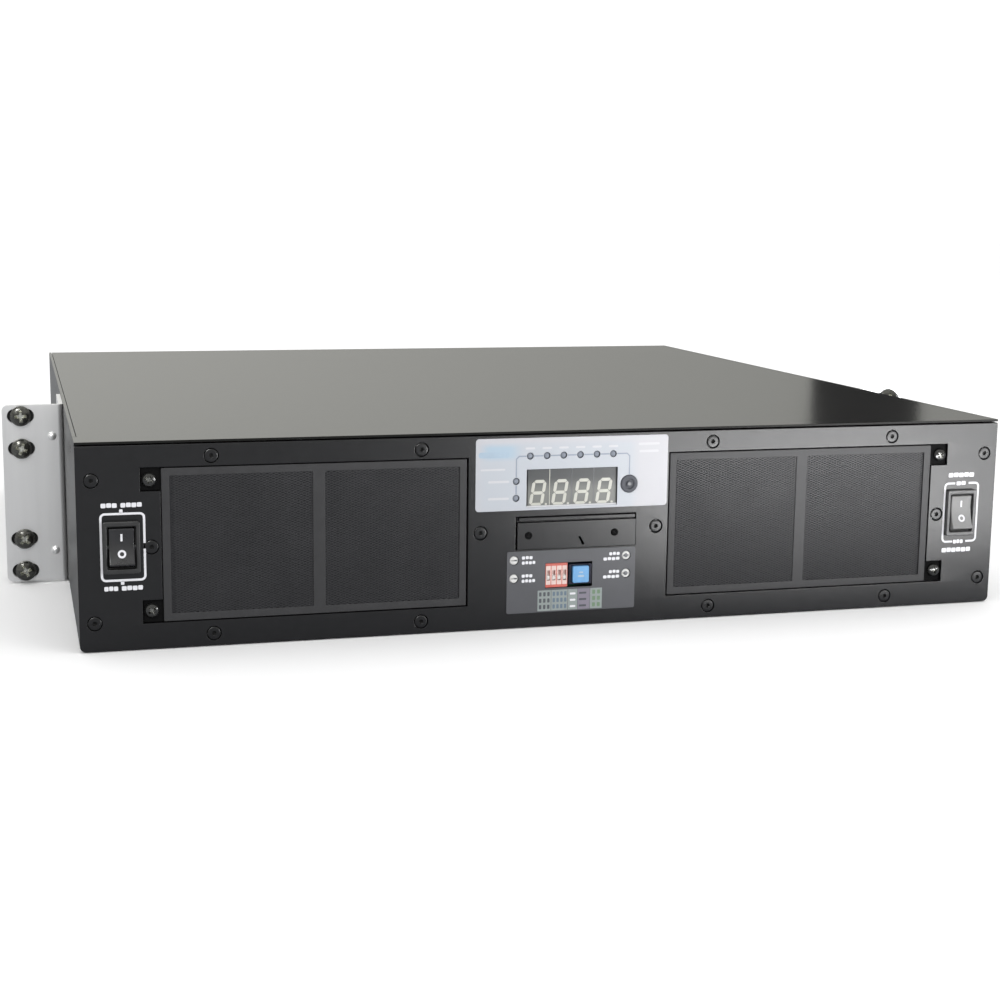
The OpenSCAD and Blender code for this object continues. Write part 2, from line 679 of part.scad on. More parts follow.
module trimmer_rotor_1() { trimmer_rotor(0); }
module trimmer_rotor_2() { trimmer_rotor(1); }
module trimmer_rotor_3() { trimmer_rotor(2); }
module trimmer_rotor_4() { trimmer_rotor(3); }

// ---------- inside ----------

module power_board() {
    color([0.1, 0.35, 0.2]) difference() {
        box([-203, -178, 8], [203, -24, 9.6]);
        for (x = [-195, -70, 70, 195], y = [-165, -35]) translate([x, y, 0]) cylinder(r = 1.6, h = 20);
    }
}

module heat_sinks() {
    color([0.75, 0.75, 0.77]) for (x = [-150, 90]) {
        box([x, -170, 9.7], [x + 60, -60, 14]);
        for (i = [0:fin_count - 1]) box([x + i * 58 / (fin_count - 1), -170, 13.8], [x + 1.8 + i * 58 / (fin_count - 1), -60, 72]);
    }
}

// Ferrite transformers, core around a wound bobbin
module transformers() {
    color([0.3, 0.28, 0.26]) for (x = [-52, 8]) {
        difference() {
            box([x, -150, 9.7], [x + 44, -94, 60]);
            box([x - 1, -140, 20], [x + 45, -104, 50]);
        }
        box([x + 3, -139.5, 20.2], [x + 41, -104.5, 49.8]);
    }
}

module capacitors() {
    color([0.15, 0.17, 0.3]) for (i = [0:cap_count - 1]) translate([-62 + 124 / cap_count * (i + 0.5), -58, 9.7]) cylinder(r = 9, h = 45);
}

// Four 12 V blocks lying on their sides
module batteries() {
    color([0.2, 0.2, 0.22]) for (x = [-203, -50], y = [-14, 85]) {
        box([x, y, 1.6], [x + 151, y + 94, 66.5]);
        for (z = [16, 52]) box([x + 8, y + 93.5, z], [x + 15, y + 97, z + 6]);
    }
}

// Strap of bent sheet over the battery blocks
module battery_bracket() {
    color([0.7, 0.7, 0.72]) {
        box([-206, 60, 67], [105, 110, 68.5]);
        for (x = [-207, 104]) box([x, 60, 1.6], [x + 1.5, 110, 68.5]);
        box([104, 60, 1.6], [116, 110, 3.1]);
    }
}

// ---------- rear connectors ----------

// Recessed mains inlet with three flat pins, seen from the back
module ac_inlet() {
    x = inlet_at[0];
    z = inlet_at[1];
    color([0.08, 0.08, 0.08]) difference() {
        union() {
            plate(YR, 2.5) rrect([x - 25, z - 12, x + 25, z + 12], 3);
            plate(YR - 22, 22.2) rect([x - 13.5, z - 9.9, x + 13.5, z + 9.9]);
        }
        plate(YR - 16, 25) rect([x - 12, z - 8.2, x + 12, z + 8.2]);
        for (s = [-1, 1]) bar(x + s * 20, YR - 3, z, 1.65, 8);
    }
    color([0.8, 0.8, 0.75]) {
        for (s = [-1, 1]) box([x + s * 7 - 1, YR - 28, z - 4], [x + s * 7 + 1, YR - 3, z]);
        box([x - 1, YR - 28, z], [x + 1, YR - 3, z + 4]);
    }
    color([0.1, 0.1, 0.1]) for (s = [-1, 1]) translate([x + s * 20, YR + 2.5, z]) rotate([0, 0, 180]) pan_screw(0, 0, 0, 2.6, 1.6, 1.5, 6);
}

// Four mains outlets
module ac_outlets() {
    color([0.09, 0.09, 0.09]) for (p = outlet_at) difference() {
        union() {
            plate(YR, 2) rrect([p[0] - 15.5, p[1] - 12.3, p[0] + 15.5, p[1] + 12.3], 1.5);
            plate(YR - 24, 24.2) rect([p[0] - 13, p[1] - 10, p[0] + 13, p[1] + 10]);
        }
        difference() {
            plate(YR - 16, 20) rect([p[0] - 12.2, p[1] - 8.8, p[0] + 12.2, p[1] + 8.8]);
            plate(YR - 17, 19) rect([p[0] - 9.6, p[1] - 6.2, p[0] + 9.6, p[1] + 6.2]);
        }
        plate(YR - 15, 20) {
            for (s = [-1, 1]) rect([p[0] + s * 7 - 1.2, p[1] - 4.3, p[0] + s * 7 + 1.2, p[1] + 0.2]);
            rect([p[0] - 1.2, p[1] - 0.2, p[0] + 1.2, p[1] + 4.3]);
        }
    }
}

// Two threaded studs in insulating collars
module dc_terminals() {
    for (i = [0, 1]) {
        color(i == 0 ? [0.1, 0.1, 0.1] : [0.7, 0.1, 0.08]) difference() {
            union() {
                bar(dc_at[i][0], YR, dc_at[i][1], 12, 5);
                bar(dc_at[i][0], YR - 8, dc_at[i][1], 8, 8.2);
            }
            bar(dc_at[i][0], YR - 9, dc_at[i][1], 4, 20);
        }
        color([0.8, 0.75, 0.5]) bar(dc_at[i][0], YR - 14, dc_at[i][1], 4, 37);
    }
}

// Push-to-reset breaker: threaded neck and body
module breaker_body() {
    x = breaker_at[0];
    z = breaker_at[1];
    color([0.1, 0.1, 0.1]) difference() {
        union() {
            plate(YR - 24, 22.5) rect([x - 9, z - 8, x + 9, z + 8]);
            bar(x, YR - 2, z, 5.9, 6);
            translate([x, YR, z]) rotate([-90, 0, 0]) cylinder(r = 8.6, h = 2.2, $fn = 6);
        }
        bar(x, YR - 8, z, 3.38, 20);
    }
}

module breaker_button() {
    color([0.85, 0.85, 0.82]) {
        bar(breaker_at[0], YR - 4, breaker_at[1], 3.3, 10.5);
        bar(breaker_at[0], YR - 7.8, breaker_at[1], 3.3, 4);
    }
}

// Nine-way serial socket with its jack posts
module serial_port() {
    x = serial_at[0];
    z = serial_at[1];
    color([0.75, 0.75, 0.75]) difference() {
        union() {
            plate(YR, 1) rrect([x - 15.4, z - 6.2, x + 15.4, z + 6.2], 1.5);
            plate(YR - 10, 15.5) intersection() {
                polygon([[x - 9.2, z + 4.6], [x + 9.2, z + 4.6], [x + 8, z - 4.6], [x - 8, z - 4.6]]);
                rrect([x - 9.3, z - 4.6, x + 9.3, z + 4.6], 1);
            }
            for (s = [-1, 1]) {
                translate([x + s * 12.5, YR + 0.5, z]) rotate([-90, 0, 0]) cylinder(r = 2.7, h = 5, $fn = 6);
                bar(x + s * 12.5, YR - 6, z, 1.5, 7);
            }
        }
        for (i = [0:4]) bar(x - 5.54 + 2.77 * i, YR + 1, z + 1.42, 0.6, 10);
        for (i = [0:3]) bar(x - 4.155 + 2.77 * i, YR + 1, z - 1.42, 0.6, 10);
    }
}

chassis();
top_cover();
front_panel();
rear_panel();
ear_left();
ear_right();
rack_screws();
rack_screw_retainers();
ear_screws();
front_panel_screws();
cover_screws();
rear_panel_screws();
filter_grille_left();
filter_grille_right();
filter_gauze();
grille_screws();
fan_frames();
fan_rotor_1();
fan_rotor_2();
fan_rotor_3();
fan_rotor_4();
fan_screws();
mode_switch_housing();
mode_switch_rocker();
power_switch_housing();
power_switch_rocker();
display_label();
display_board();
digit_displays();
status_leds();
select_button();
select_button_switch();
slot_cover();
slot_cover_screws();
settings_label();
settings_board();
dip_switch_body();
dip_slider_1();
dip_slider_2();
dip_slider_3();
dip_slider_4();
reset_button_housing();
reset_button();
trimmer_bodies();
trimmer_rotor_1();
trimmer_rotor_2();
trimmer_rotor_3();
trimmer_rotor_4();
power_board();
heat_sinks();
transformers();
capacitors();
batteries();
battery_bracket();
ac_inlet();
ac_outlets();
dc_terminals();
breaker_body();
breaker_button();
serial_port();
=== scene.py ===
import math
import bpy
import bmesh
from mathutils import Matrix, Vector


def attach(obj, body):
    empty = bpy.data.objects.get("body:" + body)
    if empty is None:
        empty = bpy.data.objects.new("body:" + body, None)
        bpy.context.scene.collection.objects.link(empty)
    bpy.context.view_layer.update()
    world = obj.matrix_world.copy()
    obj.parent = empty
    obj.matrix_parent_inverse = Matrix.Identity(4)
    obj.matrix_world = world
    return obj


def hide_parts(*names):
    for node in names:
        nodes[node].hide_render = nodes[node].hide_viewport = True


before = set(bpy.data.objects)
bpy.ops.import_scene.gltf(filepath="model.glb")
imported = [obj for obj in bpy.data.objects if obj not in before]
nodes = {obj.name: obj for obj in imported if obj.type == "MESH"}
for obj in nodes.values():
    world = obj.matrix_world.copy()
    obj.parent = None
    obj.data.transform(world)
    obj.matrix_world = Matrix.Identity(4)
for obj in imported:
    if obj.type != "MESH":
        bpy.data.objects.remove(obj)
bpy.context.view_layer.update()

MM = 0.001
YF, YR = -217.5, 217.5          # panel faces, mm
YW = YF + 3                     # front wall of the tray
EAR = YF + 144                  # ear face

# ------------------------------------------------------------------ camera
cam_data = bpy.data.cameras.new("camera")
cam = bpy.data.objects.new("camera", cam_data)
bpy.context.scene.collection.objects.link(cam)
yaw, pitch, roll = 0.27778, 0.16995, 0.01161
fwd = Vector((math.sin(yaw) * math.cos(pitch), math.cos(yaw) * math.cos(pitch), -math.sin(pitch)))
rgt = Vector((math.cos(yaw), -math.sin(yaw), 0))
up = rgt.cross(fwd)
r2 = rgt * math.cos(roll) + up * math.sin(roll)
u2 = -rgt * math.sin(roll) + up * math.cos(roll)
cam.matrix_world = Matrix(((r2.x, u2.x, -fwd.x, -0.2348), (r2.y, u2.y, -fwd.y, -0.92799), (r2.z, u2.z, -fwd.z, 0.18478), (0, 0, 0, 1)))
cam_data.lens = 61.685
cam_data.sensor_width = 36
cam_data.clip_start = 0.02
cam_data.clip_end = 60
bpy.context.scene.camera = cam
bpy.context.scene.view_settings.view_transform = "Standard"


# ------------------------------------------------------------------ materials
INK = 0.60                      # the studio light is bright, so printed colours are this much darker


def lin(c):
    """sRGB 0..255 to linear."""
    out = []
    for v in c:
        v = v / 255
        out.append((v / 12.92 if v <= 0.04045 else ((v + 0.055) / 1.055) ** 2.4) * INK)
    return (*out, 1)


def grown(name, col, rough=0.4, metal=0.0, spec=0.5, var=0.12, vscale=35, bump=0.05, bscale=2500, stretch=(1, 1, 1),
          rvar=0.06, edge=0.0, wear=0.0, peel=0.0, aniso=0.0, coat=0.0, trans=0.0, emit=0.0, sheen=0.0):
    """A procedural finish: uneven colour and gloss, fine grain, optional softened and worn edges."""
    m = bpy.data.materials.new(name)
    m.use_nodes = True
    nt = m.node_tree
    b = nt.nodes["Principled BSDF"]
    L = nt.links.new

    def add(kind, **kw):
        n = nt.nodes.new(kind)
        for k, v in kw.items():
            setattr(n, k, v)
        return n

    tc = add("ShaderNodeTexCoord")
    mp = add("ShaderNodeMapping")
    mp.inputs["Scale"].default_value = stretch
    L(tc.outputs["Object"], mp.inputs["Vector"])
    big = add("ShaderNodeTexNoise")
    big.inputs["Scale"].default_value = vscale
    big.inputs["Detail"].default_value = 5
    big.inputs["Roughness"].default_value = 0.6
    L(mp.outputs[0], big.inputs["Vector"])
    fine = add("ShaderNodeTexNoise")
    fine.inputs["Scale"].default_value = bscale
    fine.inputs["Detail"].default_value = 2
    L(mp.outputs[0], fine.inputs["Vector"])
    ramp = add("ShaderNodeMix", data_type="RGBA")
    lo = [max(0, c * (1 - var)) for c in col[:3]] + [1]
    hi = [min(1, c * (1 + var)) for c in col[:3]] + [1]
    ramp.inputs[6].default_value = lo
    ramp.inputs[7].default_value = hi
    mr = add("ShaderNodeMapRange")
    mr.inputs["From Min"].default_value = 0.3
    mr.inputs["From Max"].default_value = 0.7
    L(big.outputs["Fac"], mr.inputs["Value"])
    L(mr.outputs[0], ramp.inputs[0])
    colour = ramp.outputs[2]
    mrr = add("ShaderNodeMapRange")
    mrr.inputs["From Min"].default_value = 0.3
    mrr.inputs["From Max"].default_value = 0.7
    mrr.inputs["To Min"].default_value = max(0.03, rough - rvar)
    mrr.inputs["To Max"].default_value = min(1, rough + rvar)
    L(fine.outputs["Fac"] if aniso else big.outputs["Fac"], mrr.inputs["Value"])
    L(mrr.outputs[0], b.inputs["Roughness"])
    bm = add("ShaderNodeBump")
    bm.inputs["Strength"].default_value = bump
    bm.inputs["Distance"].default_value = 0.0002
    L(fine.outputs["Fac"], bm.inputs["Height"])
    last = bm
    if peel:
        pn = add("ShaderNodeTexNoise")
        pn.inputs["Scale"].default_value = 620
        pn.inputs["Detail"].default_value = 1
        L(tc.outputs["Object"], pn.inputs["Vector"])
        bp = add("ShaderNodeBump")
        bp.inputs["Strength"].default_value = peel
        bp.inputs["Distance"].default_value = 0.0003
        L(pn.outputs["Fac"], bp.inputs["Height"])
        L(bp.outputs[0], bm.inputs["Normal"])
        last = bp
    if edge:
        bv = add("ShaderNodeBevel")
        bv.samples = 4
        bv.inputs["Radius"].default_value = edge * MM
        L(bv.outputs[0], last.inputs["Normal"])
        if wear:
            geo = add("ShaderNodeNewGeometry")
            dot = add("ShaderNodeVectorMath", operation="DOT_PRODUCT")
            L(bv.outputs[0], dot.inputs[0])
            L(geo.outputs["True Normal"], dot.inputs[1])
            wr = add("ShaderNodeMapRange")
            wr.inputs["From Min"].default_value = 0.97
            wr.inputs["From Max"].default_value = 0.8
            wr.inputs["To Min"].default_value = 0
            wr.inputs["To Max"].default_value = wear
            L(dot.outputs["Value"], wr.inputs["Value"])
            wm = add("ShaderNodeMix", data_type="RGBA")
            wm.inputs[7].default_value = (0.3, 0.3, 0.3, 1)
            L(wr.outputs[0], wm.inputs[0])
            L(colour, wm.inputs[6])
            colour = wm.outputs[2]
    L(bm.outputs[0], b.inputs["Normal"])
    L(colour, b.inputs["Base Color"])
    b.inputs["Metallic"].default_value = metal
    b.inputs["Specular IOR Level"].default_value = spec
    b.inputs["Anisotropic"].default_value = aniso
    b.inputs["Coat Weight"].default_value = coat
    b.inputs["Transmission Weight"].default_value = trans
    b.inputs["Sheen Weight"].default_value = sheen
    if emit:
        L(colour, b.inputs["Emission Color"])
        b.inputs["Emission Strength"].default_value = emit
    return m


M = {
    "panel": grown("panel_paint", (0.0045, 0.0045, 0.0056, 1), rough=0.33, spec=0.42, var=0.10, vscale=240, bump=0.12, bscale=2600, rvar=0.02, peel=0.05),
    "case": grown("case_paint", (0.012, 0.012, 0.0125, 1), rough=0.15, spec=0.45, var=0.10, vscale=240, bump=0.12, bscale=2600, rvar=0.03, edge=0.3, wear=0.12, peel=0.03),
    "lid": grown("lid_paint", (0.012, 0.012, 0.0115, 1), rough=0.16, spec=0.48, var=0.08, vscale=260, bump=0.08, bscale=2300, rvar=0.01, edge=0.2, wear=0.0, peel=0.04),
    "grille_rim": grown("grille_rim_paint", (0.028, 0.028, 0.030, 1), rough=0.52, spec=0.30, var=0.1, vscale=200, bump=0.12, bscale=2600, rvar=0.02),
    "grille": grown("grille_paint", (0.0205, 0.0205, 0.0228, 1), rough=0.50, spec=0.42, var=0.15, vscale=60, bump=0.1, bscale=2600, rvar=0.05),
    "ear": grown("ear_metal", (0.83, 0.83, 0.835, 1), rough=0.36, metal=0.70, var=0.05, vscale=60, bump=0.05, bscale=900, stretch=(1, 1, 0.06), rvar=0.05, edge=0.3),
    "black_screw": grown("black_screw", (0.010, 0.010, 0.010, 1), rough=0.16, spec=0.8, var=0.2, vscale=400, bump=0.06, bscale=3000, rvar=0.06),
    "rack_screw": grown("rack_screw_black", (0.09, 0.09, 0.083, 1), rough=0.20, metal=0.85, spec=0.8, var=0.4, vscale=700, bump=0.55, bscale=800, rvar=0.08),
    # painted glint: the cross recess of the dark rack screws takes a bright silver metal colour, which the reflected
    # lamps then light
    "rack_recess": grown("rack_screw_recess", (0.60, 0.60, 0.55, 1), rough=0.25, metal=1.0, var=0.5, vscale=900, bump=0.4, bscale=900, rvar=0.08),
    "zinc": grown("zinc_screw", (0.55, 0.56, 0.56, 1), rough=0.32, metal=1.0, var=0.12, vscale=300, bump=0.08, bscale=2000, rvar=0.08, edge=0.2),
    "nylon": grown("nylon", (0.010, 0.010, 0.010, 1), rough=0.5, var=0.05, vscale=200, bump=0.05),
    "gauze": grown("gauze", (0.030, 0.030, 0.033, 1), rough=0.95, spec=0.2, var=0.35, vscale=900, bump=0.8, bscale=1500),
    "fan": grown("fan_plastic", (0.015, 0.015, 0.016, 1), rough=0.42, var=0.15, vscale=90, bump=0.15, bscale=3000, edge=0.3),
    "switch": grown("switch_plastic", (0.019, 0.019, 0.020, 1), rough=0.40, spec=0.5, var=0.12, vscale=150, bump=0.2, bscale=5000),
    # painted sheen: the power switch bezel is the same dark plastic, lightened to stand in for the reflection it shows
    "switch_grey": grown("switch_grey_plastic", (0.045, 0.045, 0.047, 1), rough=0.40, spec=0.5, var=0.12, vscale=150, bump=0.2, bscale=5000),
    # painted sheen: the power rocker is the same black plastic as the mode rocker, painted light grey for the
    # reflection on its face
    "rocker_grey": grown("rocker_grey_plastic", (0.20, 0.20, 0.20, 1), rough=0.5, spec=0.25, var=0.08, vscale=150, bump=0.08, bscale=5000),
    # painted glint: the cross recess of the black grille screws takes a pale metal colour, which the reflected lamps
    # then light
    "grille_recess": grown("grille_screw_recess", (0.30, 0.30, 0.285, 1), rough=0.28, metal=1.0, var=0.5, vscale=900, bump=0.4, bscale=900, rvar=0.08),
    # painted shade: screw recesses, zinc ones too, and the inner walls of the switch openings take this near-black
    # matte colour; the hidden screw shanks share it
    "recess": grown("screw_recess", (0.003, 0.003, 0.003, 1), rough=0.55, spec=0.3, var=0.2, vscale=600, bump=0.1),
    # painted shade: the recessed grille tabs, part of the same painted frame, and the slot cover screws are painted
    # near-black matte for the shade in their recesses
    "tab_dark": grown("grille_tab_paint", (0.003, 0.003, 0.0034, 1), rough=0.8, spec=0.08, var=0.1, vscale=200, bump=0.1, bscale=2600),
    "rocker": grown("rocker_plastic", (0.014, 0.014, 0.016, 1), rough=0.30, spec=0.5, var=0.12, vscale=150, bump=0.12, bscale=5000),
    "ink": grown("white_ink", (0.60, 0.60, 0.63, 1), rough=0.5, var=0.03, vscale=300, bump=0.06, bscale=4000),
    "grey_label": grown("grey_label", lin((93, 94, 99)), rough=0.45, spec=0.4, var=0.05, vscale=120, bump=0.06, bscale=3500, rvar=0.05),
    "pcb": grown("circuit_board", (0.02, 0.11, 0.05, 1), rough=0.35, var=0.35, vscale=500, bump=0.15, bscale=900),
    "segment": grown("digit_segments", lin((214, 214, 203)), rough=0.4, var=0.06, vscale=400, bump=0.03),
    "lamp": grown("lamp_lens", lin((154, 161, 173)), rough=0.55, spec=0.2, var=0.08, vscale=500, bump=0.02),
    "blue_ink": grown("blue_ink", lin((180, 203, 223)), rough=0.45, var=0.10, vscale=90, bump=0.03),
    "line_ink": grown("line_ink", lin((154, 164, 180)), rough=0.45, var=0.06, vscale=200, bump=0.03),
    # soft ink for the printed bars, also used for the painted reflection strip in the display window
    "soft_ink": grown("soft_ink", lin((224, 225, 229)), rough=0.45, var=0.02, vscale=200, bump=0.03),
    "button_grey": grown("button_grey", lin((98, 100, 108)), rough=0.6, spec=0.22, var=0.1, vscale=300, bump=0.1, bscale=5000),
    "dip_red": grown("dip_red", lin((224, 106, 92)), rough=0.4, var=0.08, vscale=400, bump=0.04),
    "dip_pale": grown("dip_pale", lin((250, 222, 214)), rough=0.45, var=0.05, vscale=400, bump=0.04),
    "slider": grown("slider_white", lin((240, 234, 230)), rough=0.4, var=0.05, vscale=400, bump=0.04),
    "button_blue": grown("button_blue", lin((118, 184, 240)), rough=0.36, var=0.08, vscale=400, bump=0.05, coat=0.15),
    "housing_navy": grown("button_housing", lin((7, 12, 44)), rough=0.42, spec=0.3, var=0.15, vscale=300, bump=0.06),
    "adj_white": grown("adjuster_white", lin((248, 248, 246)), rough=0.4, var=0.04, vscale=400, bump=0.05),
    "adj_grey": grown("adjuster_centre", lin((118, 120, 124)), rough=0.4, var=0.08, vscale=400, bump=0.05),
    "adj_blue": grown("adjuster_blue", (0.03, 0.08, 0.3, 1), rough=0.4, var=0.1, vscale=200, bump=0.1, edge=0.2),
    "alu": grown("heat_sink_metal", (0.72, 0.72, 0.74, 1), rough=0.35, metal=1.0, var=0.08, vscale=80, bump=0.15, bscale=900, stretch=(1, 0.05, 1), edge=0.25),
    "ferrite": grown("ferrite", (0.05, 0.045, 0.04, 1), rough=0.6, var=0.2, vscale=200, bump=0.3, bscale=1200, edge=0.4),
    "sleeve": grown("capacitor_sleeve", (0.015, 0.02, 0.07, 1), rough=0.25, var=0.1, vscale=150, bump=0.03, coat=0.3),
    "battery": grown("battery_case", (0.02, 0.02, 0.024, 1), rough=0.45, var=0.15, vscale=70, bump=0.2, bscale=2500, edge=0.8),
    "bracket": grown("bracket_zinc", (0.6, 0.6, 0.6, 1), rough=0.38, metal=1.0, var=0.18, vscale=90, bump=0.06, edge=0.3),
    "connector": grown("connector_black", (0.012, 0.012, 0.012, 1), rough=0.38, spec=0.5, var=0.15, vscale=150, bump=0.2, bscale=4500, edge=0.4),
    "terminal": grown("terminal_metal", (0.72, 0.6, 0.36, 1), rough=0.28, metal=1.0, var=0.1, vscale=300, bump=0.05),
    "terminal_red": grown("terminal_red", (0.45, 0.012, 0.01, 1), rough=0.35, var=0.1, vscale=200, bump=0.08),
    "terminal_black": grown("terminal_black", (0.012, 0.012, 0.012, 1), rough=0.35, var=0.1, vscale=200, bump=0.08),
    "reset_white": grown("reset_white", (0.5, 0.5, 0.46, 1), rough=0.38, var=0.05, vscale=300, bump=0.05),
    "port": grown("port_metal", (0.6, 0.6, 0.6, 1), rough=0.3, metal=1.0, var=0.12, vscale=200, bump=0.06, edge=0.2),
    "socket_dark": grown("socket_dark", (0.004, 0.004, 0.004, 1), rough=0.6, var=0.2, vscale=300, bump=0.1),
    "table_a": grown("table_pale", lin((158, 168, 166)), rough=0.5, var=0.06, vscale=500, bump=0.03),
    "table_b": grown("table_blue", lin((108, 128, 146)), rough=0.5, var=0.06, vscale=500, bump=0.03),
    "table_c": grown("table_violet", lin((142, 136, 152)), rough=0.5, var=0.06, vscale=500, bump=0.03),
    "table_d": grown("table_green", lin((120, 150, 118)), rough=0.5, var=0.06, vscale=500, bump=0.03),
    "table_e": grown("table_dark", lin((82, 86, 94)), rough=0.5, var=0.06, vscale=500, bump=0.03),
}


def lid_edge():
    """The folded front edge of the lid has less gloss than its top."""
    nt = M["lid"].node_tree
    b = nt.nodes["Principled BSDF"]
    g = nt.nodes.new("ShaderNodeNewGeometry")
    sep = nt.nodes.new("ShaderNodeSeparateXYZ")
    nt.links.new(g.outputs["True Normal"], sep.inputs[0])
    mr = nt.nodes.new("ShaderNodeMapRange")
    for k, v in zip(("From Min", "From Max", "To Min", "To Max"), (-0.8, -0.3, 0.06, 0.48)):
        mr.inputs[k].default_value = v
    nt.links.new(sep.outputs[1], mr.inputs["Value"])
    nt.links.new(mr.outputs[0], b.inputs["Specular IOR Level"])


lid_edge()


def side_soft(name, least):
    """The side walls are duller than the faces seen from the front and above."""
    nt = M[name].node_tree
    b = nt.nodes["Principled BSDF"]
    src = b.inputs["Roughness"].links[0].from_socket
    g = nt.nodes.new("ShaderNodeNewGeometry")
    sep = nt.nodes.new("ShaderNodeSeparateXYZ")
    nt.links.new(g.outputs["True Normal"], sep.inputs[0])
    ab = nt.nodes.new("ShaderNodeMath")
    ab.operation = "ABSOLUTE"
    nt.links.new(sep.outputs[0], ab.inputs[0])
    mr = nt.nodes.new("ShaderNodeMapRange")
    for k, v in zip(("From Min", "From Max", "To Min", "To Max"), (0.6, 0.95, 0.0, least)):
        mr.inputs[k].default_value = v
    nt.links.new(ab.outputs[0], mr.inputs["Value"])
    mx = nt.nodes.new("ShaderNodeMath")
    mx.operation = "MAXIMUM"
    nt.links.new(src, mx.inputs[0])
    nt.links.new(mr.outputs[0], mx.inputs[1])
    nt.links.new(mx.outputs[0], b.inputs["Roughness"])


side_soft("case", 0.34)
side_soft("lid", 0.34)


def label_white():
    """Printed film: pale lavender with a pale blue field on its left part, blended by place on the film."""
    m = grown("white_label", lin((212, 212, 218)), rough=0.4, spec=0.4, var=0.02, vscale=60, bump=0.03, bscale=3000, rvar=0.04)
    nt = m.node_tree
    L = nt.links.new
    b = nt.nodes["Principled BSDF"]
    src = b.inputs["Base Color"].links[0].from_socket
    tc = next(n for n in nt.nodes if n.type == "TEX_COORD")
    sep = nt.nodes.new("ShaderNodeSeparateXYZ")
    L(tc.outputs["Object"], sep.inputs[0])

    def band(out, a, b_, c, d):
        r = nt.nodes.new("ShaderNodeMapRange")
        r.interpolation_type = "SMOOTHSTEP"
        for k, v in zip(("From Min", "From Max", "To Min", "To Max"), (a * MM, b_ * MM, 0, 1)):
            r.inputs[k].default_value = v
        L(out, r.inputs["Value"])
        s = nt.nodes.new("ShaderNodeMapRange")
        s.interpolation_type = "SMOOTHSTEP"
        for k, v in zip(("From Min", "From Max", "To Min", "To Max"), (c * MM, d * MM, 1, 0)):
            s.inputs[k].default_value = v
        L(out, s.inputs["Value"])
        p = nt.nodes.new("ShaderNodeMath")
        p.operation = "MULTIPLY"
        L(r.outputs[0], p.inputs[0])
        L(s.outputs[0], p.inputs[1])
        return p.outputs[0]

    def mixin(col, fac_a, fac_b, tint, strength):
        p = nt.nodes.new("ShaderNodeMath")
        p.operation = "MULTIPLY"
        L(fac_a, p.inputs[0])
        L(fac_b, p.inputs[1])
        q = nt.nodes.new("ShaderNodeMath")
        q.operation = "MULTIPLY"
        q.inputs[1].default_value = strength
        L(p.outputs[0], q.inputs[0])
        mx = nt.nodes.new("ShaderNodeMix")
        mx.data_type = "RGBA"
        mx.inputs[7].default_value = tint
        L(q.outputs[0], mx.inputs[0])
        L(col, mx.inputs[6])
        return mx.outputs[2]

    x, z = sep.outputs[0], sep.outputs[2]
    col = mixin(src, band(x, -46, -38, 27, 33), band(z, 50, 55, 81, 84.5), lin((200, 208, 218)), 0.7)
    col = mixin(col, band(x, -42, -37, -29, -21), band(z, 74.5, 77.5, 80.5, 83.5), lin((180, 206, 226)), 0.85)
    L(col, b.inputs["Base Color"])
    return m


M["white_label"] = label_white()


def digit_face():
    """Display modules with painted light: painted shade at the top of the window, and a paler colour painted low down
    where the table light reaches in.
    """
    m = grown("digit_face", lin((66, 69, 71)), rough=0.4, spec=0.4, var=0.10, vscale=220, bump=0.04)
    nt = m.node_tree
    L = nt.links.new
    b = nt.nodes["Principled BSDF"]
    src = b.inputs["Base Color"].links[0].from_socket
    tc = next(n for n in nt.nodes if n.type == "TEX_COORD")
    sep = nt.nodes.new("ShaderNodeSeparateXYZ")
    L(tc.outputs["Object"], sep.inputs[0])
    # painted shade and light: the colour runs from dark at z 68 mm to pale at z 60.5 mm
    g = nt.nodes.new("ShaderNodeMapRange")
    g.interpolation_type = "SMOOTHSTEP"
    for k, v in zip(("From Min", "From Max", "To Min", "To Max"), (68.0 * MM, 60.5 * MM, 0, 1)):
        g.inputs[k].default_value = v
    L(sep.outputs[2], g.inputs["Value"])
    mx = nt.nodes.new("ShaderNodeMix")
    mx.data_type = "RGBA"
    mx.inputs[7].default_value = lin((124, 126, 122))
    L(g.outputs[0], mx.inputs[0])
    L(src, mx.inputs[6])
    L(mx.outputs[2], b.inputs["Base Color"])
    return m


M["digit"] = digit_face()

CAD_FINISH = {
    "chassis": "case", "top_cover": "lid", "rear_panel": "case", "front_panel": "panel", "ear_left": "ear", "ear_right": "ear",
    "rack_screw_retainers": "nylon", "filter_gauze": "gauze", "fan_frames": "fan", "fan_rotor_1": "fan", "fan_rotor_2": "fan",
    "fan_rotor_3": "fan", "fan_rotor_4": "fan", "fan_screws": "zinc", "display_board": "pcb", "settings_board": "pcb",
    "power_board": "pcb", "select_button_switch": "connector", "trimmer_bodies": "adj_blue", "heat_sinks": "alu",
    "transformers": "ferrite", "capacitors": "sleeve", "batteries": "battery", "battery_bracket": "bracket",
    "ac_inlet": "connector", "ac_outlets": "connector", "serial_port": "port",
}
for n, o in nodes.items():
    want = M[CAD_FINISH.get(n, "connector")]
    for s in o.material_slots:
        s.material = want


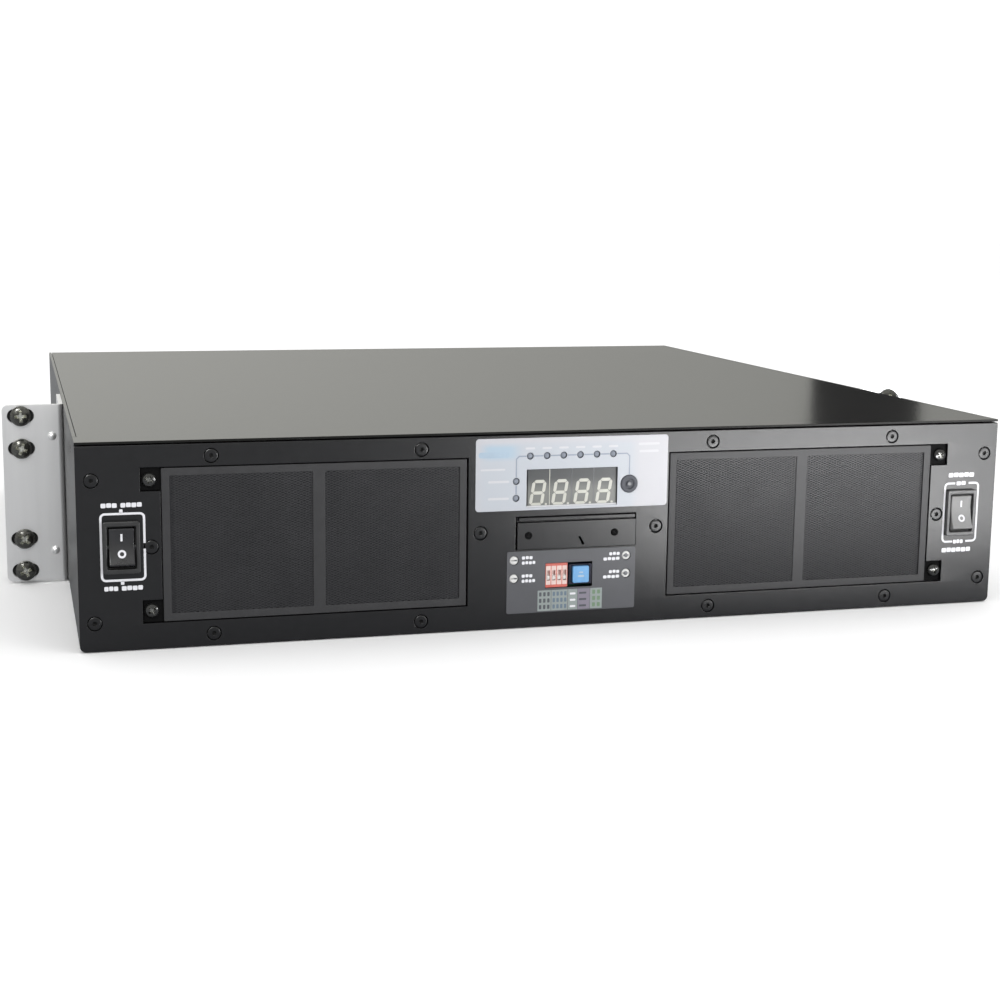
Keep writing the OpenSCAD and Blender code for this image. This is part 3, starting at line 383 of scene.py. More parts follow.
# ------------------------------------------------------------------ mesh helpers (millimetres in, metres out)
class Shape:
    def __init__(self):
        self.v, self.f, self.mi = [], [], []

    def add(self, verts, faces, mi=0, tf=None):
        k = len(self.v)
        if tf:
            verts = [tf(*p) for p in verts]
        self.v += [tuple(p) for p in verts]
        self.f += [tuple(i + k for i in f) for f in faces]
        self.mi += [mi] * len(faces)
        return self

    def box(self, a, b, mi=0, tf=None):
        (x0, y0, z0), (x1, y1, z1) = a, b
        vs = [(x0, y0, z0), (x1, y0, z0), (x1, y1, z0), (x0, y1, z0), (x0, y0, z1), (x1, y0, z1), (x1, y1, z1), (x0, y1, z1)]
        fs = [(0, 3, 2, 1), (4, 5, 6, 7), (0, 1, 5, 4), (1, 2, 6, 5), (2, 3, 7, 6), (3, 0, 4, 7)]
        return self.add(vs, fs, mi, tf)

    def lathe(self, prof, n=40, mi=0, tf=None, phase=0.0):
        """prof: (r, h) along the local axis h; closed at both ends when r is 0 there. Local frame is (u, v, h)."""
        vs, fs, rows = [], [], []
        for r, h in prof:
            if r < 1e-6:
                rows.append([len(vs)])
                vs.append((0, 0, h))
            else:
                rows.append([len(vs) + i for i in range(n)])
                vs += [(r * math.cos(2 * math.pi * i / n + phase), r * math.sin(2 * math.pi * i / n + phase), h) for i in range(n)]
        for a, b in zip(rows, rows[1:]):
            for i in range(n):
                j = (i + 1) % n
                if len(a) == 1 and len(b) == 1:
                    continue
                if len(a) == 1:
                    fs.append((a[0], b[j], b[i]))
                elif len(b) == 1:
                    fs.append((a[i], a[j], b[0]))
                else:
                    fs.append((a[i], a[j], b[j], b[i]))
        return self.add(vs, fs, mi, tf)


def obj_from(name, shape, mats, body, stands=(), angle=32, bevel=0.0, segs=2, subsurf=0, scale=MM):
    me = bpy.data.meshes.new(name)
    me.from_pydata([(x * scale, y * scale, z * scale) for x, y, z in shape.v], [], shape.f)
    mats = mats if isinstance(mats, (list, tuple)) else [mats]
    for m in mats:
        me.materials.append(m)
    for p, i in zip(me.polygons, shape.mi):
        p.material_index = i
    bm = bmesh.new()
    bm.from_mesh(me)
    bmesh.ops.remove_doubles(bm, verts=bm.verts, dist=1e-7)
    bmesh.ops.recalc_face_normals(bm, faces=bm.faces)
    if bevel:
        es = [e for e in bm.edges if len(e.link_faces) == 2 and e.calc_face_angle(0) > math.radians(32)]
        bmesh.ops.bevel(bm, geom=es, offset=bevel * MM, segments=segs, profile=0.5, affect="EDGES", clamp_overlap=True)
    bm.to_mesh(me)
    bm.free()
    me.shade_smooth()
    me.set_sharp_from_angle(angle=math.radians(angle))
    o = bpy.data.objects.new(name, me)
    bpy.context.scene.collection.objects.link(o)
    wn = o.modifiers.new("even_normals", "WEIGHTED_NORMAL")
    wn.mode = "FACE_AREA"
    wn.weight = 100
    wn.keep_sharp = True
    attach(o, body)
    if stands:
        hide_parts(*stands)
    return o


def rr(x0, z0, x1, z1, r=0.0, n=5):
    """Rounded rectangle, counter-clockwise, as points."""
    if r <= 0:
        return [(x0, z0), (x1, z0), (x1, z1), (x0, z1)]
    pts = []
    for cx, cz, a0 in ((x1 - r, z0 + r, -90), (x1 - r, z1 - r, 0), (x0 + r, z1 - r, 90), (x0 + r, z0 + r, 180)):
        for i in range(n + 1):
            a = math.radians(a0 + 90 * i / n)
            pts.append((cx + r * math.cos(a), cz + r * math.sin(a)))
    return pts


def circ(x, z, r, n=40):
    return [(x + r * math.cos(2 * math.pi * i / n), z + r * math.sin(2 * math.pi * i / n)) for i in range(n)]


def flat(loops, y0, y1, bevel=0.0, res=1):
    """Filled outlines in X and Z, holes included, between y0 (front) and y1 (back), with rounded edges. Returns verts and faces in mm."""
    cu = bpy.data.curves.new("tmp", "CURVE")
    cu.dimensions = "2D"
    cu.fill_mode = "BOTH"
    cu.extrude = max((y1 - y0) / 2 - bevel, 0)
    cu.bevel_depth = bevel
    cu.bevel_resolution = res
    cu.offset = -bevel
    for lp in loops:
        sp = cu.splines.new("POLY")
        sp.points.add(len(lp) - 1)
        for p, (x, z) in zip(sp.points, lp):
            p.co = (x, z, 0, 1)
        sp.use_cyclic_u = True
    o = bpy.data.objects.new("tmp", cu)
    bpy.context.scene.collection.objects.link(o)
    dg = bpy.context.evaluated_depsgraph_get()
    me = bpy.data.meshes.new_from_object(o.evaluated_get(dg))
    yc = (y0 + y1) / 2
    vs = [(v.co.x, yc - v.co.z, v.co.y) for v in me.vertices]
    fs = [tuple(p.vertices) for p in me.polygons]
    bpy.data.objects.remove(o)
    bpy.data.curves.remove(cu)
    bpy.data.meshes.remove(me)
    return vs, fs


def toward(x, y, z, d="-y"):
    """Local (u, v, h) frame at a point, h pointing along d."""
    return {
        "-y": lambda u, v, h: (x + u, y - h, z + v),
        "+y": lambda u, v, h: (x - u, y + h, z + v),
        "-x": lambda u, v, h: (x - h, y - u, z + v),
        "+x": lambda u, v, h: (x + h, y + u, z + v),
        "+z": lambda u, v, h: (x + u, y + v, z + h),
    }[d]


def cut(base, tools):
    """Shape minus the tool shapes, in local units of millimetres."""
    def to_obj(sh, nm):
        me = bpy.data.meshes.new(nm)
        me.from_pydata(sh.v, [], sh.f)
        bm = bmesh.new()
        bm.from_mesh(me)
        bmesh.ops.remove_doubles(bm, verts=bm.verts, dist=1e-5)
        bmesh.ops.recalc_face_normals(bm, faces=bm.faces)
        bm.to_mesh(me)
        bm.free()
        o = bpy.data.objects.new(nm, me)
        bpy.context.scene.collection.objects.link(o)
        return o
    b = to_obj(base, "tmp_base")
    ts = []
    for i, t in enumerate(tools):
        t_o = to_obj(t, f"tmp_tool_{i}")
        ts.append(t_o)
        md = b.modifiers.new(f"b{i}", "BOOLEAN")
        md.operation = "DIFFERENCE"
        md.object = t_o
        md.solver = "EXACT"
    dg = bpy.context.evaluated_depsgraph_get()
    me = bpy.data.meshes.new_from_object(b.evaluated_get(dg))
    out = Shape()
    out.add([tuple(v.co) for v in me.vertices], [tuple(p.vertices) for p in me.polygons])
    for o in [b] + ts:
        bpy.data.objects.remove(o)
    return out


def part_in(sh, part, tf):
    """Add a shape with its own material numbers, moved by tf."""
    k = len(sh.v)
    sh.v += [tuple(tf(*p)) for p in part.v]
    sh.f += [tuple(i + k for i in f) for f in part.f]
    sh.mi += list(part.mi)


def mark_recess(part, inside):
    """Material 1 for the faces whose middle lies inside the recess."""
    for i, f in enumerate(part.f):
        c = [sum(part.v[j][a] for j in f) / len(f) for a in range(3)]
        if inside(*c):
            part.mi[i] = 1
    return part


def dome(r, h, lip=0.35, steps=6):
    """Pan head outline from the axis out to the underside."""
    pts = [(0, h)]
    for i in range(1, steps + 1):
        a = i / steps
        pts.append((r * 0.97 * a, h - (h - lip - 0.25 * h) * (1 - math.sqrt(max(0, 1 - (a * 0.93) ** 2)))))
    pts[-1] = (r * 0.965, h * 0.48)
    pts += [(r, h * 0.36), (r, lip * 0.5), (r * 0.975, 0), (0, 0)]
    return pts


def cross_tool(r, h, depth, turn):
    """One tapered, cross-shaped cutter for a screw recess."""
    w, l = r * 0.15, r * 0.62
    rows = []
    for (hw, hl, z) in ((w * 1.1, l * 1.08, h + 0.3), (w * 0.75, l * 0.5, h - depth)):
        ring = [(hl, -hw), (hl, hw), (hw, hw), (hw, hl), (-hw, hl), (-hw, hw), (-hl, hw), (-hl, -hw), (-hw, -hw), (-hw, -hl), (hw, -hl), (hw, -hw)]
        a = math.radians(turn)
        rows.append([(x * math.cos(a) - y * math.sin(a), x * math.sin(a) + y * math.cos(a), z) for x, y in ring])
    s = Shape()
    n = 12
    s.add(rows[0] + rows[1], [tuple(range(n)), tuple(reversed(range(n, 2 * n)))] + [(i, n + i, n + (i + 1) % n, (i + 1) % n) for i in range(n)])
    return s


def pan_head(r, h, turn=20, n=44):
    base = Shape()
    prof = dome(r, h)
    base.lathe(prof, n)
    top = [p for p in prof if p[1] >= h * 0.45]

    def inside(u, v, z):
        d = math.hypot(u, v)
        if d > r * 0.72 or z < h * 0.2:
            return False
        for (ra, ha), (rb, hb) in zip(top, top[1:]):
            if ra <= d <= rb:
                return z < ha + (hb - ha) * (d - ra) / max(rb - ra, 1e-6) - 0.03 * h
        return False
    return mark_recess(cut(base, [cross_tool(r, h, h * 0.62, turn)]), inside)


def hex_head(r, hole, depth, cone, n=44):
    """Flat countersunk head with a hexagonal recess; its face is at h 0."""
    base = Shape()
    base.lathe([(0, 0.0), (r * 0.78, 0.0), (r * 0.94, -0.04), (r, -0.16), (r, -0.3), (r * 0.55, -cone), (0, -cone)], n)
    t = Shape()
    t.lathe([(0, 0.4), (hole * 1.12, 0.4), (hole * 1.12, 0.0), (hole, -0.1), (hole, -depth * 0.8), (0, -depth)], 6, phase=math.radians(30))
    return mark_recess(cut(base, [t]), lambda u, v, z: math.hypot(u, v) < hole * 1.05 and -depth - 0.02 < z < -0.12)


def thread(r, l0, l1, pitch=1.0, depth=0.5, n=24):
    """Thread rings as an outline from h=l0 down to h=l1 (both negative, l1 lower)."""
    prof = [(0, l0), (r - depth, l0)]
    h = l0
    while h - pitch > l1 + 0.4:
        prof += [(r - depth, h - 0.12 * pitch), (r, h - 0.42 * pitch), (r, h - 0.58 * pitch), (r - depth, h - 0.88 * pitch)]
        h -= pitch
    prof += [(r - depth, h), (r - depth, l1 + 0.5), (r - depth - 0.4, l1), (0, l1)]
    return prof


# ------------------------------------------------------------------ front panel
GX0, GX1, GZ0, GZ1 = 46.5, 178.3, 11.0, 77.0
TX1, TABH = 186.5, 10.0
RIM, SX, SW_ = 3.8, 111.95, 5.3
SWX, SWZ = 194.6, 44.0
LABEL = (-43.4, 53.0, 45.7, 85.1)
WIN = (-20.3, 54.0, 22.1, 71.2)
DIGX = [-14.5 + 10.25 * i for i in range(4)]
LEDX = [-18.7 + 7.7 * i for i in range(6)]
LEDZ = 77.05
LED2 = [(-25.0, 66.0), (-25.0, 58.5)]
BTN = (27.5, 63.3)
SLOT = (-24.9, 35.2, 31.3, 50.1)
SLOTS = [(-18.9, 41.5), (21.3, 41.5)]
SETL = (-28.8, 6.6, 31.3, 34.6)
DIP = (-10.8, 17.6, -0.5, 28.6)
DIPX = [-9.46 + 2.54 * i for i in range(4)]
DIPZ = 23.1
RST = (0.0, 18.6, 10.8, 27.8)
TRIM = [(-25.5, 30.6), (-25.5, 22.4), (27.0, 30.7), (27.0, 22.5)]
FPS = [(s * x, z) for s in (-1, 1) for x, z in ((157.2, 81.2), (67.4, 81.2), (157.2, 5.3), (67.4, 5.3), (206.2, 72.0), (206.2, 12.0), (182.4, 43.5), (40.9, 43.5))]
PH = 86.4


def sorted_outline():
    pts = []
    for i in range(7):
        a = math.radians(-90 + 15 * i)
        pts.append((212.5 - 2.5 + 2.5 * math.cos(a), 2.5 + 2.5 * math.sin(a)))
    pts += [(212.5, PH - 0.5), (212.3, PH - 0.15), (212.0, PH), (-212.0, PH), (-212.3, PH - 0.15), (-212.5, PH - 0.5)]
    for i in range(7):
        a = math.radians(180 + 15 * i)
        pts.append((-212.5 + 2.5 + 2.5 * math.cos(a), 2.5 + 2.5 * math.sin(a)))
    return pts


def grille_hole(s):
    pts = [(GX0, GZ0), (TX1, GZ0), (TX1, GZ0 + TABH), (GX1, GZ0 + TABH), (GX1, GZ1 - TABH), (TX1, GZ1 - TABH), (TX1, GZ1), (GX0, GZ1)]
    return pts if s > 0 else [(-x, z) for x, z in reversed(pts)]


loops = [sorted_outline(), grille_hole(1), grille_hole(-1)]
for s in (-1, 1):
    loops.append(rr(s * SWX - 6.6, SWZ - 9.65, s * SWX + 6.6, SWZ + 9.65))
loops += [rr(*WIN), rr(*SLOT, 0.4, 3), rr(DIP[0] - 0.3, DIP[1] - 0.3, RST[2] + 0.3, DIP[3] + 0.3)]
loops += [circ(x, LEDZ, 1.6, 24) for x in LEDX] + [circ(x, z, 1.6, 24) for x, z in LED2] + [circ(*BTN, 4.1, 48)]
loops += [circ(x, z, 2.15, 28) for x, z in TRIM] + [circ(x, z, 3.12, 40) for x, z in FPS]
sh = Shape()
sh.add(*flat(loops, YF, YF + 3, 0.22, 1))
for x in (-32, 33.5):
    for z in (56, 80):
        sh.lathe([(0, -0.2), (2, -0.2), (2, -6.3), (0, -6.3)], 20, tf=toward(x, YF + 3, z))
obj_from("front_panel_plate", sh, M["panel"], "case", ["front_panel"], angle=28)

# ------------------------------------------------------------------ grilles
A, B = 1.3, 0.55


def mesh_sheet(x0, z0, x1, z1, y):
    """Expanded sheet: staggered diamond openings between tilted strands."""
    vs, fs = [], []
    lat = {}
    t = 0.30

    def node(i, j, back):
        k = (i, j, back)
        if k not in lat:
            lat[k] = len(vs)
            vs.append((x0 + i * A, y + (t if back else 0), z0 + j * B))
        return lat[k]
    ni, nj = int((x1 - x0) / A), int((z1 - z0) / B)
    kx, kz = 0.74, 0.62
    for i in range(1, ni):
        for j in range(1, nj):
            if (i + j) % 2:
                continue
            f, bk, inf, inb = [], [], [], []
            cx, cz = x0 + i * A, z0 + j * B
            for di, dj, dy in ((1, 0, 0.0), (0, 1, 0.04), (-1, 0, 0.0), (0, -1, -0.04)):
                f.append(node(i + di, j + dj, False))
                bk.append(node(i + di, j + dj, True))
                inf.append(len(vs))
                vs.append((cx + di * A * kx, y + dy, cz + dj * B * kz))
                inb.append(len(vs))
                vs.append((cx + di * A * kx, y + t + dy, cz + dj * B * kz))
            for q in range(4):
                r = (q + 1) % 4
                fs.append((f[q], inf[q], inf[r], f[r]))
                fs.append((bk[q], bk[r], inb[r], inb[q]))
                fs.append((inf[q], inb[q], inb[r], inf[r]))
    return vs, fs


for s, side in ((-1, "left"), (1, "right")):
    mir = (lambda x, y, z: (x, y, z)) if s > 0 else (lambda x, y, z: (-x, y, z))
    o_l = rr(GX0 + 0.7, GZ0 + 0.45, GX1 - 0.45, GZ1 - 0.55, 0.3, 2)
    w1 = rr(GX0 + RIM, GZ0 + RIM, SX - SW_ / 2, GZ1 - RIM, 0.5, 3)
    w2 = rr(SX + SW_ / 2, GZ0 + RIM, GX1 - RIM, GZ1 - RIM, 0.5, 3)
    sh = Shape()
    v, f = flat([o_l, w1, w2], YF + 0.4, YW, 0.18, 1)
    sh.add([mir(*p) for p in v], [tuple(reversed(q)) if s < 0 else q for q in f])
    # the tabs take material 1, the painted shade
    for z in (GZ0, GZ1 - TABH):
        zc = 16.5 if z < 30 else 71.8
        v, f = flat([rr(GX1 - 2, z + 0.25, TX1 - 0.25, z + TABH - 0.25, 0.4, 3), circ(182.8, zc, 1.65, 28)], YF + 1.4, YW, 0.12, 1)
        sh.add([mir(*p) for p in v], [tuple(reversed(q)) if s < 0 else q for q in f], 1)
    obj_from(f"grille_frame_{side}", sh, [M["grille_rim"], M["tab_dark"]], "case", [f"filter_grille_{side}"], angle=28)
    sh = Shape()
    v, f = mesh_sheet(GX0 + 2.9, GZ0 + 2.9, GX1 - 2.9, GZ1 - 2.9, YF + 0.62)
    sh.add([mir(*p) for p in v], [tuple(reversed(q)) if s < 0 else q for q in f])
    obj_from(f"grille_mesh_{side}", sh, M["grille"], "case", [f"filter_grille_{side}"], angle=20)

# ------------------------------------------------------------------ screws
ph_big = pan_head(4.9, 3.4, 14)
ph_mid = pan_head(3.1, 2.2, 35)
ph_small = pan_head(1.7, 1.1, 8, 32)
ph_rear = pan_head(2.8, 1.9, 28, 36)
ph_ear = pan_head(3.6, 2.2, 22, 36)
hx = hex_head(2.74, 1.0, 1.3, 1.75)


def turned(tf, deg):
    c, s_ = math.cos(math.radians(deg)), math.sin(math.radians(deg))
    return lambda u, v, h: tf(u * c - v * s_, u * s_ + v * c, h)


sh = Shape()
for k, (x, z) in enumerate(FPS):
    tf = turned(toward(x, YF + 0.05, z), 17 * k)
    part_in(sh, hx, tf)
    sh.lathe([(0, -1.7), (1.5, -1.7), (1.5, -7.6), (1.1, -8), (0, -8)], 20, 1, tf=tf)
obj_from("panel_screw_set", sh, [M["panel"], M["recess"]], "case", ["front_panel_screws"])

sh = Shape()
for k, (s, z) in enumerate([(s, z) for s in (-1, 1) for z in (16.5, 71.8)]):
    tf = turned(toward(s * 182.8, YF + 1.4, z), 31 * k)
    part_in(sh, ph_mid, tf)
    sh.lathe([(0, 0.1), (1.5, 0.1), (1.5, -6.6), (1.1, -7), (0, -7)], 20, tf=tf)
obj_from("grille_screw_set", sh, [M["black_screw"], M["grille_recess"]], "case", ["grille_screws"])

sh = Shape()
for k, (x, z) in enumerate(SLOTS):
    tf = turned(toward(x, YF + 0.3, z), 40 * k)
    part_in(sh, ph_small, tf)
    sh.lathe([(0, 0.1), (1.0, 0.1), (1.0, -6.2), (0.7, -6.5), (0, -6.5)], 16, tf=tf)
# the slot screw heads take the painted shade colour
obj_from("slot_screw_set", sh, [M["tab_dark"], M["recess"]], "case", ["slot_cover_screws"])

RZ = [5.9 + d for d in (0, 15.875, 60.325, 76.2)]
sh = Shape()
for k, (s, z) in enumerate([(s, z) for s in (-1, 1) for z in RZ]):
    tf = turned(toward(s * 232.55, EAR, z), 23 * k + 10)
    part_in(sh, ph_big, tf)
    sh.lathe([(0, 0.1), (2.4, 0.1), (2.4, -3.25), (0, -3.25)], 24, tf=tf)
    sh.lathe(thread(2.9, -3.2, -18, 1.0, 0.42), 28, tf=tf)
obj_from("rack_screw_set", sh, [M["rack_screw"], M["rack_recess"]], "case", ["rack_screws"], angle=24)

sh = Shape()
for k, (s, y, z) in enumerate([(s, y, z) for s in (-1, 1) for y in (14, 36) for z in (20, 68)]):
    tf = turned(toward(s * 214.5, EAR + y, z, "+x" if s > 0 else "-x"), 27 * k)
    part_in(sh, ph_ear, tf)
    sh.lathe([(0, 0.1), (1.95, 0.1), (1.95, -7.6), (1.5, -8), (0, -8)], 20, tf=tf)
obj_from("ear_screw_set", sh, [M["zinc"], M["recess"]], "case", ["ear_screws"])

sh = Shape()
hx_small = hex_head(2.72, 0.95, 1.1, 1.25, 36)
for k, (s, y) in enumerate([(s, y) for s in (-1, 1) for y in (-170, 60, 190)]):
    tf = turned(toward(s * 212.45, y, 80, "+x" if s > 0 else "-x"), 19 * k)
    part_in(sh, hx_small, tf)
    sh.lathe([(0, -1.2), (1.5, -1.2), (1.5, -5.7), (1.1, -6), (0, -6)], 18, tf=tf)
obj_from("cover_screw_set", sh, [M["black_screw"], M["recess"]], "case", ["cover_screws"])

sh = Shape()
for k, (x, z) in enumerate([(-204, 9), (-204, 80), (204, 9), (204, 80), (-2, 5.4)]):
    tf = turned(toward(x, YR, z, "+y"), 33 * k)
    part_in(sh, ph_rear, tf)
    sh.lathe([(0, 0.1), (1.5, 0.1), (1.5, -5.7), (1.1, -6), (0, -6)], 18, tf=tf)
obj_from("rear_screw_set", sh, [M["black_screw"], M["recess"]], "case", ["rear_panel_screws"])


# ------------------------------------------------------------------ printed marks (raised ink)
def ink(name, items, y, mat, t=0.035, body="case"):
    """items: loops, or (outer, hole) pairs."""
    sh = Shape()
    sh.add(*flat([lp for it in items for lp in (it if isinstance(it[0][0], (tuple, list)) else [it])], y - t, y + 0.05, 0.0, 0))
    return obj_from(name, sh, mat, body, angle=30)


def blocks(x0, z0, w, h, n, gap=0.22):
    """A run of small plain blocks."""
    bw = (w - gap * (n - 1)) / n
    return [rr(x0 + k * (bw + gap), z0 + 0.12 * (k % 2), x0 + k * (bw + gap) + bw, z0 + h - 0.1 * ((k + 1) % 2), 0.4, 2) for k in range(n)]


LW = 0.95
F0, F1, H0, H1 = 185.2, 203.8, 30.0, 58.0


def part_frame(pts, w):
    """Open stroke of width w through the points, with square corners rounded outside."""
    n = len(pts)
    left, right = [], []
    for i, (x, z) in enumerate(pts):
        if i == 0:
            dx, dz = pts[1][0] - x, pts[1][1] - z
        elif i == n - 1:
            dx, dz = x - pts[i - 1][0], z - pts[i - 1][1]
        else:
            ax, az = x - pts[i - 1][0], z - pts[i - 1][1]
            bx, bz = pts[i + 1][0] - x, pts[i + 1][1] - z
            la, lb = math.hypot(ax, az), math.hypot(bx, bz)
            dx, dz = ax / la + bx / lb, az / la + bz / lb
        d = math.hypot(dx, dz)
        nx, nz = -dz / d, dx / d
        left.append((x + nx * w / 2, z + nz * w / 2))
        right.append((x - nx * w / 2, z - nz * w / 2))
    return left + right[::-1]


def arc(cx, cz, r, a0, a1, n=5):
    return [(cx + r * math.cos(math.radians(a0 + (a1 - a0) * i / n)), cz + r * math.sin(math.radians(a0 + (a1 - a0) * i / n))) for i in range(n + 1)]


R_ = 1.7
# left: closed round the top, left and bottom, with a small gap at the right middle
xl, xr_ = -F1 + 1.0, -F0
path = [(xr_, 43.0)] + arc(xr_ - R_, H0 + R_, R_, 0, -90) + arc(xl + R_, H0 + R_, R_, -90, -180) + arc(xl + R_, H1 - R_, R_, 180, 90) + arc(xr_ - R_, H1 - R_, R_, 90, 0) + [(xr_, 45.4)]
items = [part_frame(path, LW)]
items += [rr(-195.2, H1 + 0.3, -193.8, H1 + 1.9, 0.3, 2), rr(-195.2, H0 - 1.9, -193.8, H0 - 0.3, 0.3, 2)]
items += blocks(-202.6, 60.6, 6.5, 2.0, 3) + blocks(-194.6, 60.6, 8.6, 2.0, 4)
items += blocks(-202.0, 25.6, 5.6, 2.0, 3) + blocks(-194.9, 25.6, 8.6, 2.0, 4)
ink("mode_switch_marks", items, YF, M["ink"])
# right: gaps at the middle of the top and the bottom
xl, xr_ = F0 + 1.1, F1
top = [(xl + 5.2, H1)] + list(reversed(arc(xl + R_, H1 - R_, R_, 180, 90))) + arc(xl + R_, H0 + R_, R_, 180, 270) + [(xl + 5.2, H0)]
bot = [(xr_ - 5.2, H1)] + arc(xr_ - R_, H1 - R_, R_, 90, 0) + arc(xr_ - R_, H0 + R_, R_, 0, -90) + [(xr_ - 5.2, H0)]
items = [part_frame(top, LW), part_frame(bot, LW)]
items += blocks(192.2, 57.0, 4.8, 2.0, 2) + blocks(192.0, 29.0, 5.2, 1.9, 3)
items += blocks(187.8, 60.9, 13.4, 2.2, 5) + blocks(186.2, 24.9, 15.2, 2.2, 6)
ink("power_switch_marks", items, YF, M["ink"])


# ------------------------------------------------------------------ rocker switches
def rocker_profile():
    pts = []
    for i in range(13):
        z = 7.55 - 15.1 * i / 12
        pts.append((-1.8 - 1.4 * (z / 7.55) ** 2, z))
    a0, a1 = math.degrees(math.atan2(-7.55, -3.2)), math.degrees(math.atan2(-7.46, 3.4))
    for i in range(1, 8):
        a = math.radians(a0 + (a1 - a0) * i / 8)
        pts.append((8.19 * math.cos(a), 8.19 * math.sin(a)))
    pts += [(3.4, -7.44), (3.4, 7.44)]
    for i in range(1, 8):
        a = math.radians(-a1 + (-a0 + a1) * i / 8)
        pts.append((8.19 * math.cos(a), 8.19 * math.sin(a)))
    return pts


SURF = lambda z: -1.8 - 1.4 * (z / 7.55) ** 2
cr, sr = math.cos(math.radians(-10)), math.sin(math.radians(-10))
for s, nm in ((-1, "mode"), (1, "power")):
    cx = s * SWX

    def place(x, y, z, cx=cx):
        return (cx + x, YF + 0.3 + y * cr - z * sr, SWZ + y * sr + z * cr)
    prof = rocker_profile()
    n = len(prof)
    sh = Shape()
    w = 5.2
    vs = [(-w, y, z) for y, z in prof] + [(w, y, z) for y, z in prof]
    fs = [tuple(range(n)), tuple(reversed(range(n, 2 * n)))] + [(i, n + i, n + (i + 1) % n, (i + 1) % n) for i in range(n)]
    sh.add(vs, fs, tf=place)
    # the power rocker takes the painted sheen colour
    rock = obj_from(f"{nm}_rocker_cap", sh, M["rocker"] if s < 0 else M["rocker_grey"], f"{nm}_rocker", [f"{nm}_switch_rocker"], angle=36, bevel=0.45, segs=3)
    sh = Shape()
    for d in (-1, 1):
        sh.lathe([(0, 0), (1.2, 0), (1.2, 0.9), (0, 1.0)], 20, tf=lambda u, v, h, d=d: place(d * (5.0 + h), u, v))
    obj_from(f"{nm}_rocker_pins", sh, M["rocker"], f"{nm}_rocker")
    # I and O printed on the curved face
    sh = Shape()
    vs, fs = [], []
    for k in range(7):
        z = 2.4 + 3.0 * k / 6
        for x in (-0.42, 0.42):
            vs.append((x, SURF(z) - 0.05, z))
            vs.append((x, SURF(z) + 0.08, z))
    for k in range(6):
        a = 4 * k
        fs += [(a, a + 2, a + 6, a + 4), (a + 1, a + 5, a + 7, a + 3), (a, a + 4, a + 5, a + 1), (a + 2, a + 3, a + 7, a + 6)]
    fs += [(0, 1, 3, 2), (24, 26, 27, 25)]
    sh.add(vs, fs, tf=place)
    vs, fs = [], []
    N = 32
    for k in range(N):
        a = 2 * math.pi * k / N
        for rad in (0.88, 1.72):
            x, z = rad * math.cos(a), -2.9 + rad * math.sin(a)
            vs.append((x, SURF(z) - 0.05, z))
            vs.append((x, SURF(z) + 0.08, z))
    for k in range(N):
        a, b = 4 * k, 4 * ((k + 1) % N)
        fs += [(a, a + 2, b + 2, b), (a + 1, b + 1, b + 3, a + 3), (a, b, b + 1, a + 1), (a + 2, a + 3, b + 3, b + 2)]
    sh.add(vs, fs, tf=place)
    obj_from(f"{nm}_rocker_symbols", sh, M["ink"], f"{nm}_rocker", angle=30)
    # housing: rounded bezel, inner lip, walls, closed back and terminals
    sh = Shape()
    iw, ih = 5.2 + 0.2, 8.2 + 0.25
    sh.add(*flat([rr(cx - 7.5, SWZ - 11, cx + 7.5, SWZ + 11, 1.1, 5), rr(cx - 5.95, SWZ - 9.0, cx + 5.95, SWZ + 9.0, 0.5, 3)], YF - 2, YF, 0.38, 2))
    # the inner lip and walls take material 1, the painted shade of the opening
    sh.add(*flat([rr(cx - 6.45, SWZ - 9.5, cx + 6.45, SWZ + 9.5, 0.4, 2), rr(cx - iw, SWZ - ih, cx + iw, SWZ + ih, 0.35, 3)], YF - 0.5, YF + 6, 0.1, 1), 1)
    sh.add(*flat([rr(cx - 6.45, SWZ - 9.5, cx + 6.45, SWZ + 9.5, 0.4, 2)], YF + 5.9, YF + 14, 0.3, 1))
    # the power switch bezel takes the painted sheen colour
    obj_from(f"{nm}_switch_body", sh, [M["switch_grey" if nm == "power" else "switch"], M["recess"]], "case", [f"{nm}_switch_housing"], angle=30)
    sh = Shape()
    for z in (-6, 0, 6):
        sh.add(*flat([rr(cx - 2.4, SWZ + z - 0.4, cx + 2.4, SWZ + z + 0.4)], YF + 13.9, YF + 21, 0.12, 1))
    obj_from(f"{nm}_switch_terminals", sh, M["port"], "case")

# ------------------------------------------------------------------ display
sh = Shape()
loops = [rr(*LABEL, 1.5, 6), rr(WIN[0] + 0.1, WIN[1] + 0.1, WIN[2] - 0.1, WIN[3] - 0.1, 0.25, 2)]
loops += [circ(x, LEDZ, 1.55, 28) for x in LEDX] + [circ(x, z, 1.55, 28) for x, z in LED2] + [circ(*BTN, 4.05, 56)]
sh.add(*flat(loops, YF - 0.3, YF, 0.08, 1))
obj_from("display_film", sh, M["white_label"], "case", ["display_label"], angle=28)

YL = YF - 0.3
z0 = LEDZ
stroke = [(-25, 56.3), (-25, 57.0 - 0.05)]
lines = [part_frame([(-25, 67.75), (-25, z0 - 1.2), (-23.8, z0), (LEDX[0] - 1.75, z0)], 0.65), part_frame([(-25, 60.25), (-25, 64.25)], 0.65)]
for a, b in zip(LEDX, LEDX[1:]):
    lines.append(part_frame([(a + 1.75, z0), (b - 1.75, z0)], 0.65))
lines.append(part_frame([(LEDX[-1] + 1.75, z0), (26.3, z0), (27.5, z0 - 1.2), (27.5, 67.6)], 0.65))
ink("display_lines", lines, YL, M["line_ink"], 0.02)
bars = [rr(31.6, 80.6, 41.6, 81.7, 0.5, 3), rr(32.0, 77.3, 41.2, 78.4, 0.5, 3)]
for x in LEDX:
    bars.append(rr(x - 2.2, 80.0, x + 2.2, 80.9, 0.4, 3))
